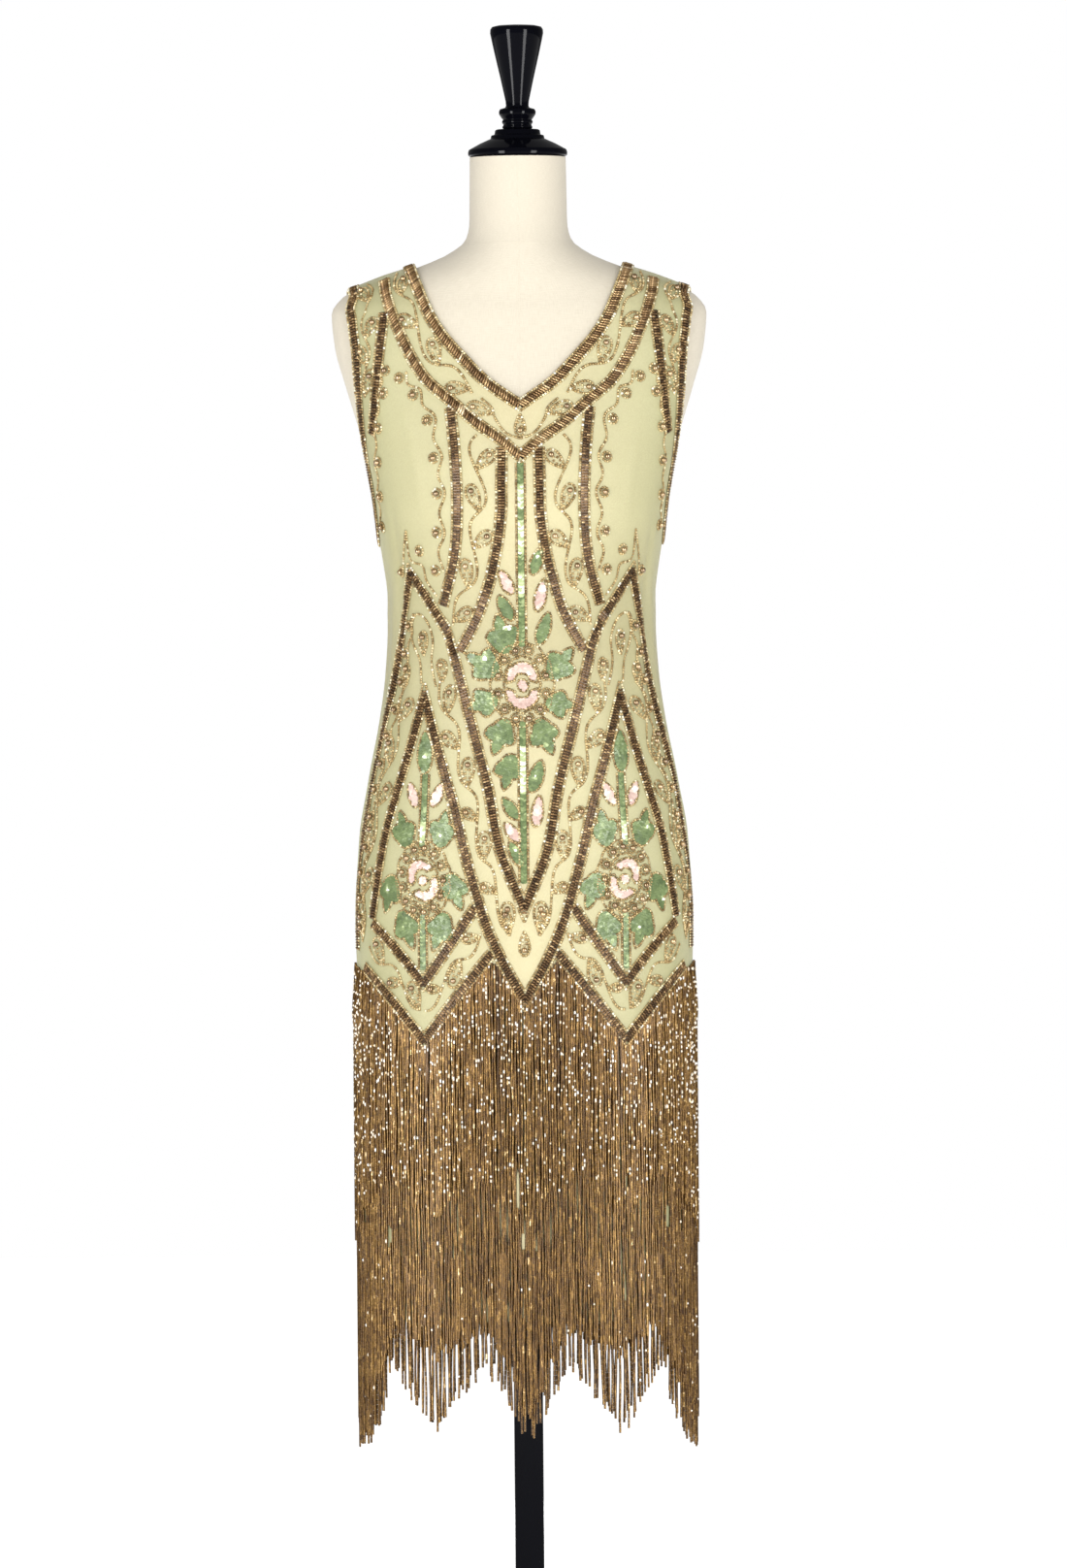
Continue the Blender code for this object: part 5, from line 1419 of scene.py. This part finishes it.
STRAY_TOP, STRAY_SPAN = 0.40, 0.16
BEAD_DEPTH, GLINT_DEPTH, GLINT_LIFT = 0.0027, 0.0024, 0.0010

# The palest stop of the fringe ramp is a painted highlight, reached by beads whose tint and speckle run high.
# The other stops are the glass's own browns.
fringe_glass = tinted(
    "fringe glass", {"Metallic": 0.25, "Specular Tint": (1.0, 0.8, 0.56, 1.0), "Coat Weight": 0.0},
    (0.0, 46, 24, 10), (0.3, 80, 54, 24), (0.6, 114, 84, 40), (0.85, 160, 126, 70), (1.0, 242, 216, 166),
    speckle=0.42,
)
# Painted highlights: the glint beads are painted near-white and glow faintly by their own emission, though
# they are no lamp.
glint_glass = tinted(
    "painted glint glass",
    {"Metallic": 0.2, "Coat Weight": 1.0, "Coat Roughness": 0.05, "Emission Color": (1.0, 0.97, 0.92, 1.0),
     "Emission Strength": 0.25},
    (0.0, 210, 184, 142), (0.5, 246, 234, 210), (1.0, 255, 255, 252),
)

for face, word in WALLS:
    angles = np.linspace(0.0, SIDE_ANGLE, SKIRT_STEPS)
    run = trail_of(face, cloth_point(face, angles, np.full(SKIRT_STEPS, SKIRT_LEVEL))).run

    def skirt_place(across):
        """The distance round the skirt from its middle."""
        turn = float(angle_at(face, across, SKIRT_LEVEL))
        return float(np.interp(abs(turn), angles, run)) * (1 if turn > 0 else -1)

    def zigzag(spots):
        """Heights of a zigzag line at distances round the skirt from its middle."""
        places = np.array([np.interp(angle_at(face, *spot), angles, run) for spot in spots])
        places[-1] = run[-1]
        return lambda distance: float(np.interp(abs(distance), places, [spot.height for spot in spots]))

    for tier in TIERS:
        root, end = zigzag(tier.roots), zigzag(tier.ends)
        distances = np.linspace(-run[-1], run[-1], tier.strands)
        pitch = distances[1] - distances[0]
        distances = distances + dice.normal(0.0, pitch * 0.12, tier.strands)
        if tier.doubled:
            pull = np.where(np.arange(tier.strands) % 2 == 0, 1, -1) * pitch * 0.17
            distances = distances + pull * dice.uniform(0.2, 1.3, tier.strands)
        points, alongs, tints = [], [], []
        for distance in np.clip(distances, -run[-1], run[-1]):
            top = root(distance) - ROOT_RISE + dice.uniform(-0.002, 0.002)
            bottom = end(distance) + dice.uniform(-1, 1) * tier.jitter
            count = max(2, int((top - bottom) / tier.bead))
            heights = top - (np.arange(count) + 0.5) * tier.bead
            below = np.clip((STRAY_TOP - heights) / STRAY_SPAN, 0.0, 1.0)
            wander = dice.normal(0.0, 0.0016) * below + 0.0005 * np.sin(heights * 60 + dice.uniform(0, 6))
            places = np.clip(distance + wander, -run[-1], run[-1])
            around = np.interp(abs(places), run, angles) * np.sign(places)
            hang = np.clip((top - heights) / HANG, 0.0, 1.0)
            lift = ROOT_LIFT + (tier.lift - ROOT_LIFT) * hang + dice.uniform(-0.0005, 0.0005)
            strand = cloth_point(face, around, heights, lift[:, None])
            tint = dice.uniform(-0.12, 0.12)
            for dark_line in DARK_STRAND_LINES:
                dark = np.clip((heights - DARK_STRAND_TOP) / 0.05, 0.0, 1.0)
                tint = tint - 0.42 * (abs(strand[:, 0] - dark_line) < DARK_STRAND_HALF) * dark
            tint = np.clip(tier.tone + tint + dice.normal(0.0, 0.14, count), 0.0, 1.0)
            kept = np.ones(count, bool)
            for slit in SLITS:
                if abs(distance - skirt_place(slit.across * face)) < slit.half_width:
                    kept &= (heights >= slit.top) | (heights <= slit.bottom)
            points.append(strand[kept])
            alongs.append(unit(np.gradient(strand, axis=0))[kept])
            tints.append(tint[kept])
        points, alongs, tints = np.concatenate(points), unit(np.concatenate(alongs)), np.concatenate(tints)
        around, heights = foot_of(face, points)
        acrosses = unit(np.cross(alongs, outward(face, around, heights)))
        frames = Frames(points, acrosses, alongs, np.cross(acrosses, alongs))
        joined_beads(
            f"fringe_{tier.name}_{word}", cone_pattern(3, "X", capped=False), frames,
            (tier.width, tier.bead * 0.97, BEAD_DEPTH), fringe_glass, tints,
            *([] if tier.name == "middle" else [f"{tier.name}_fringe_{word}"]), slot="fringe_beads",
        )
        # Painted highlights: a share of the fringe beads, a larger share high on the upper tier, gets a
        # near-white glowing glint bead laid on it.
        shine = np.where(heights < 0.52, 0.010, 0.0)
        if tier.name == "upper":
            shine = np.clip((heights - 0.44) / 0.24, 0.0, 1.0) * 0.21 + 0.016
        bright = dice.uniform(0.0, 1.0, len(points)) < shine
        picked = Frames(*(part[bright] for part in frames))
        picked = Frames(picked.points + picked.ups * GLINT_LIFT, *picked[1:])
        count = len(picked.points)
        lengths = dice.uniform(0.0020, 0.0048, count)
        widths = dice.uniform(0.0012, 0.0024, count)
        sizes = np.stack([widths, lengths, np.full(count, GLINT_DEPTH)], axis=-1)
        joined_beads(
            f"fringe_glints_{tier.name}_{word}", seed_pattern(), picked, sizes, glint_glass,
            dice.uniform(0.0, 1.0, count), slot="fringe_beads",
        )
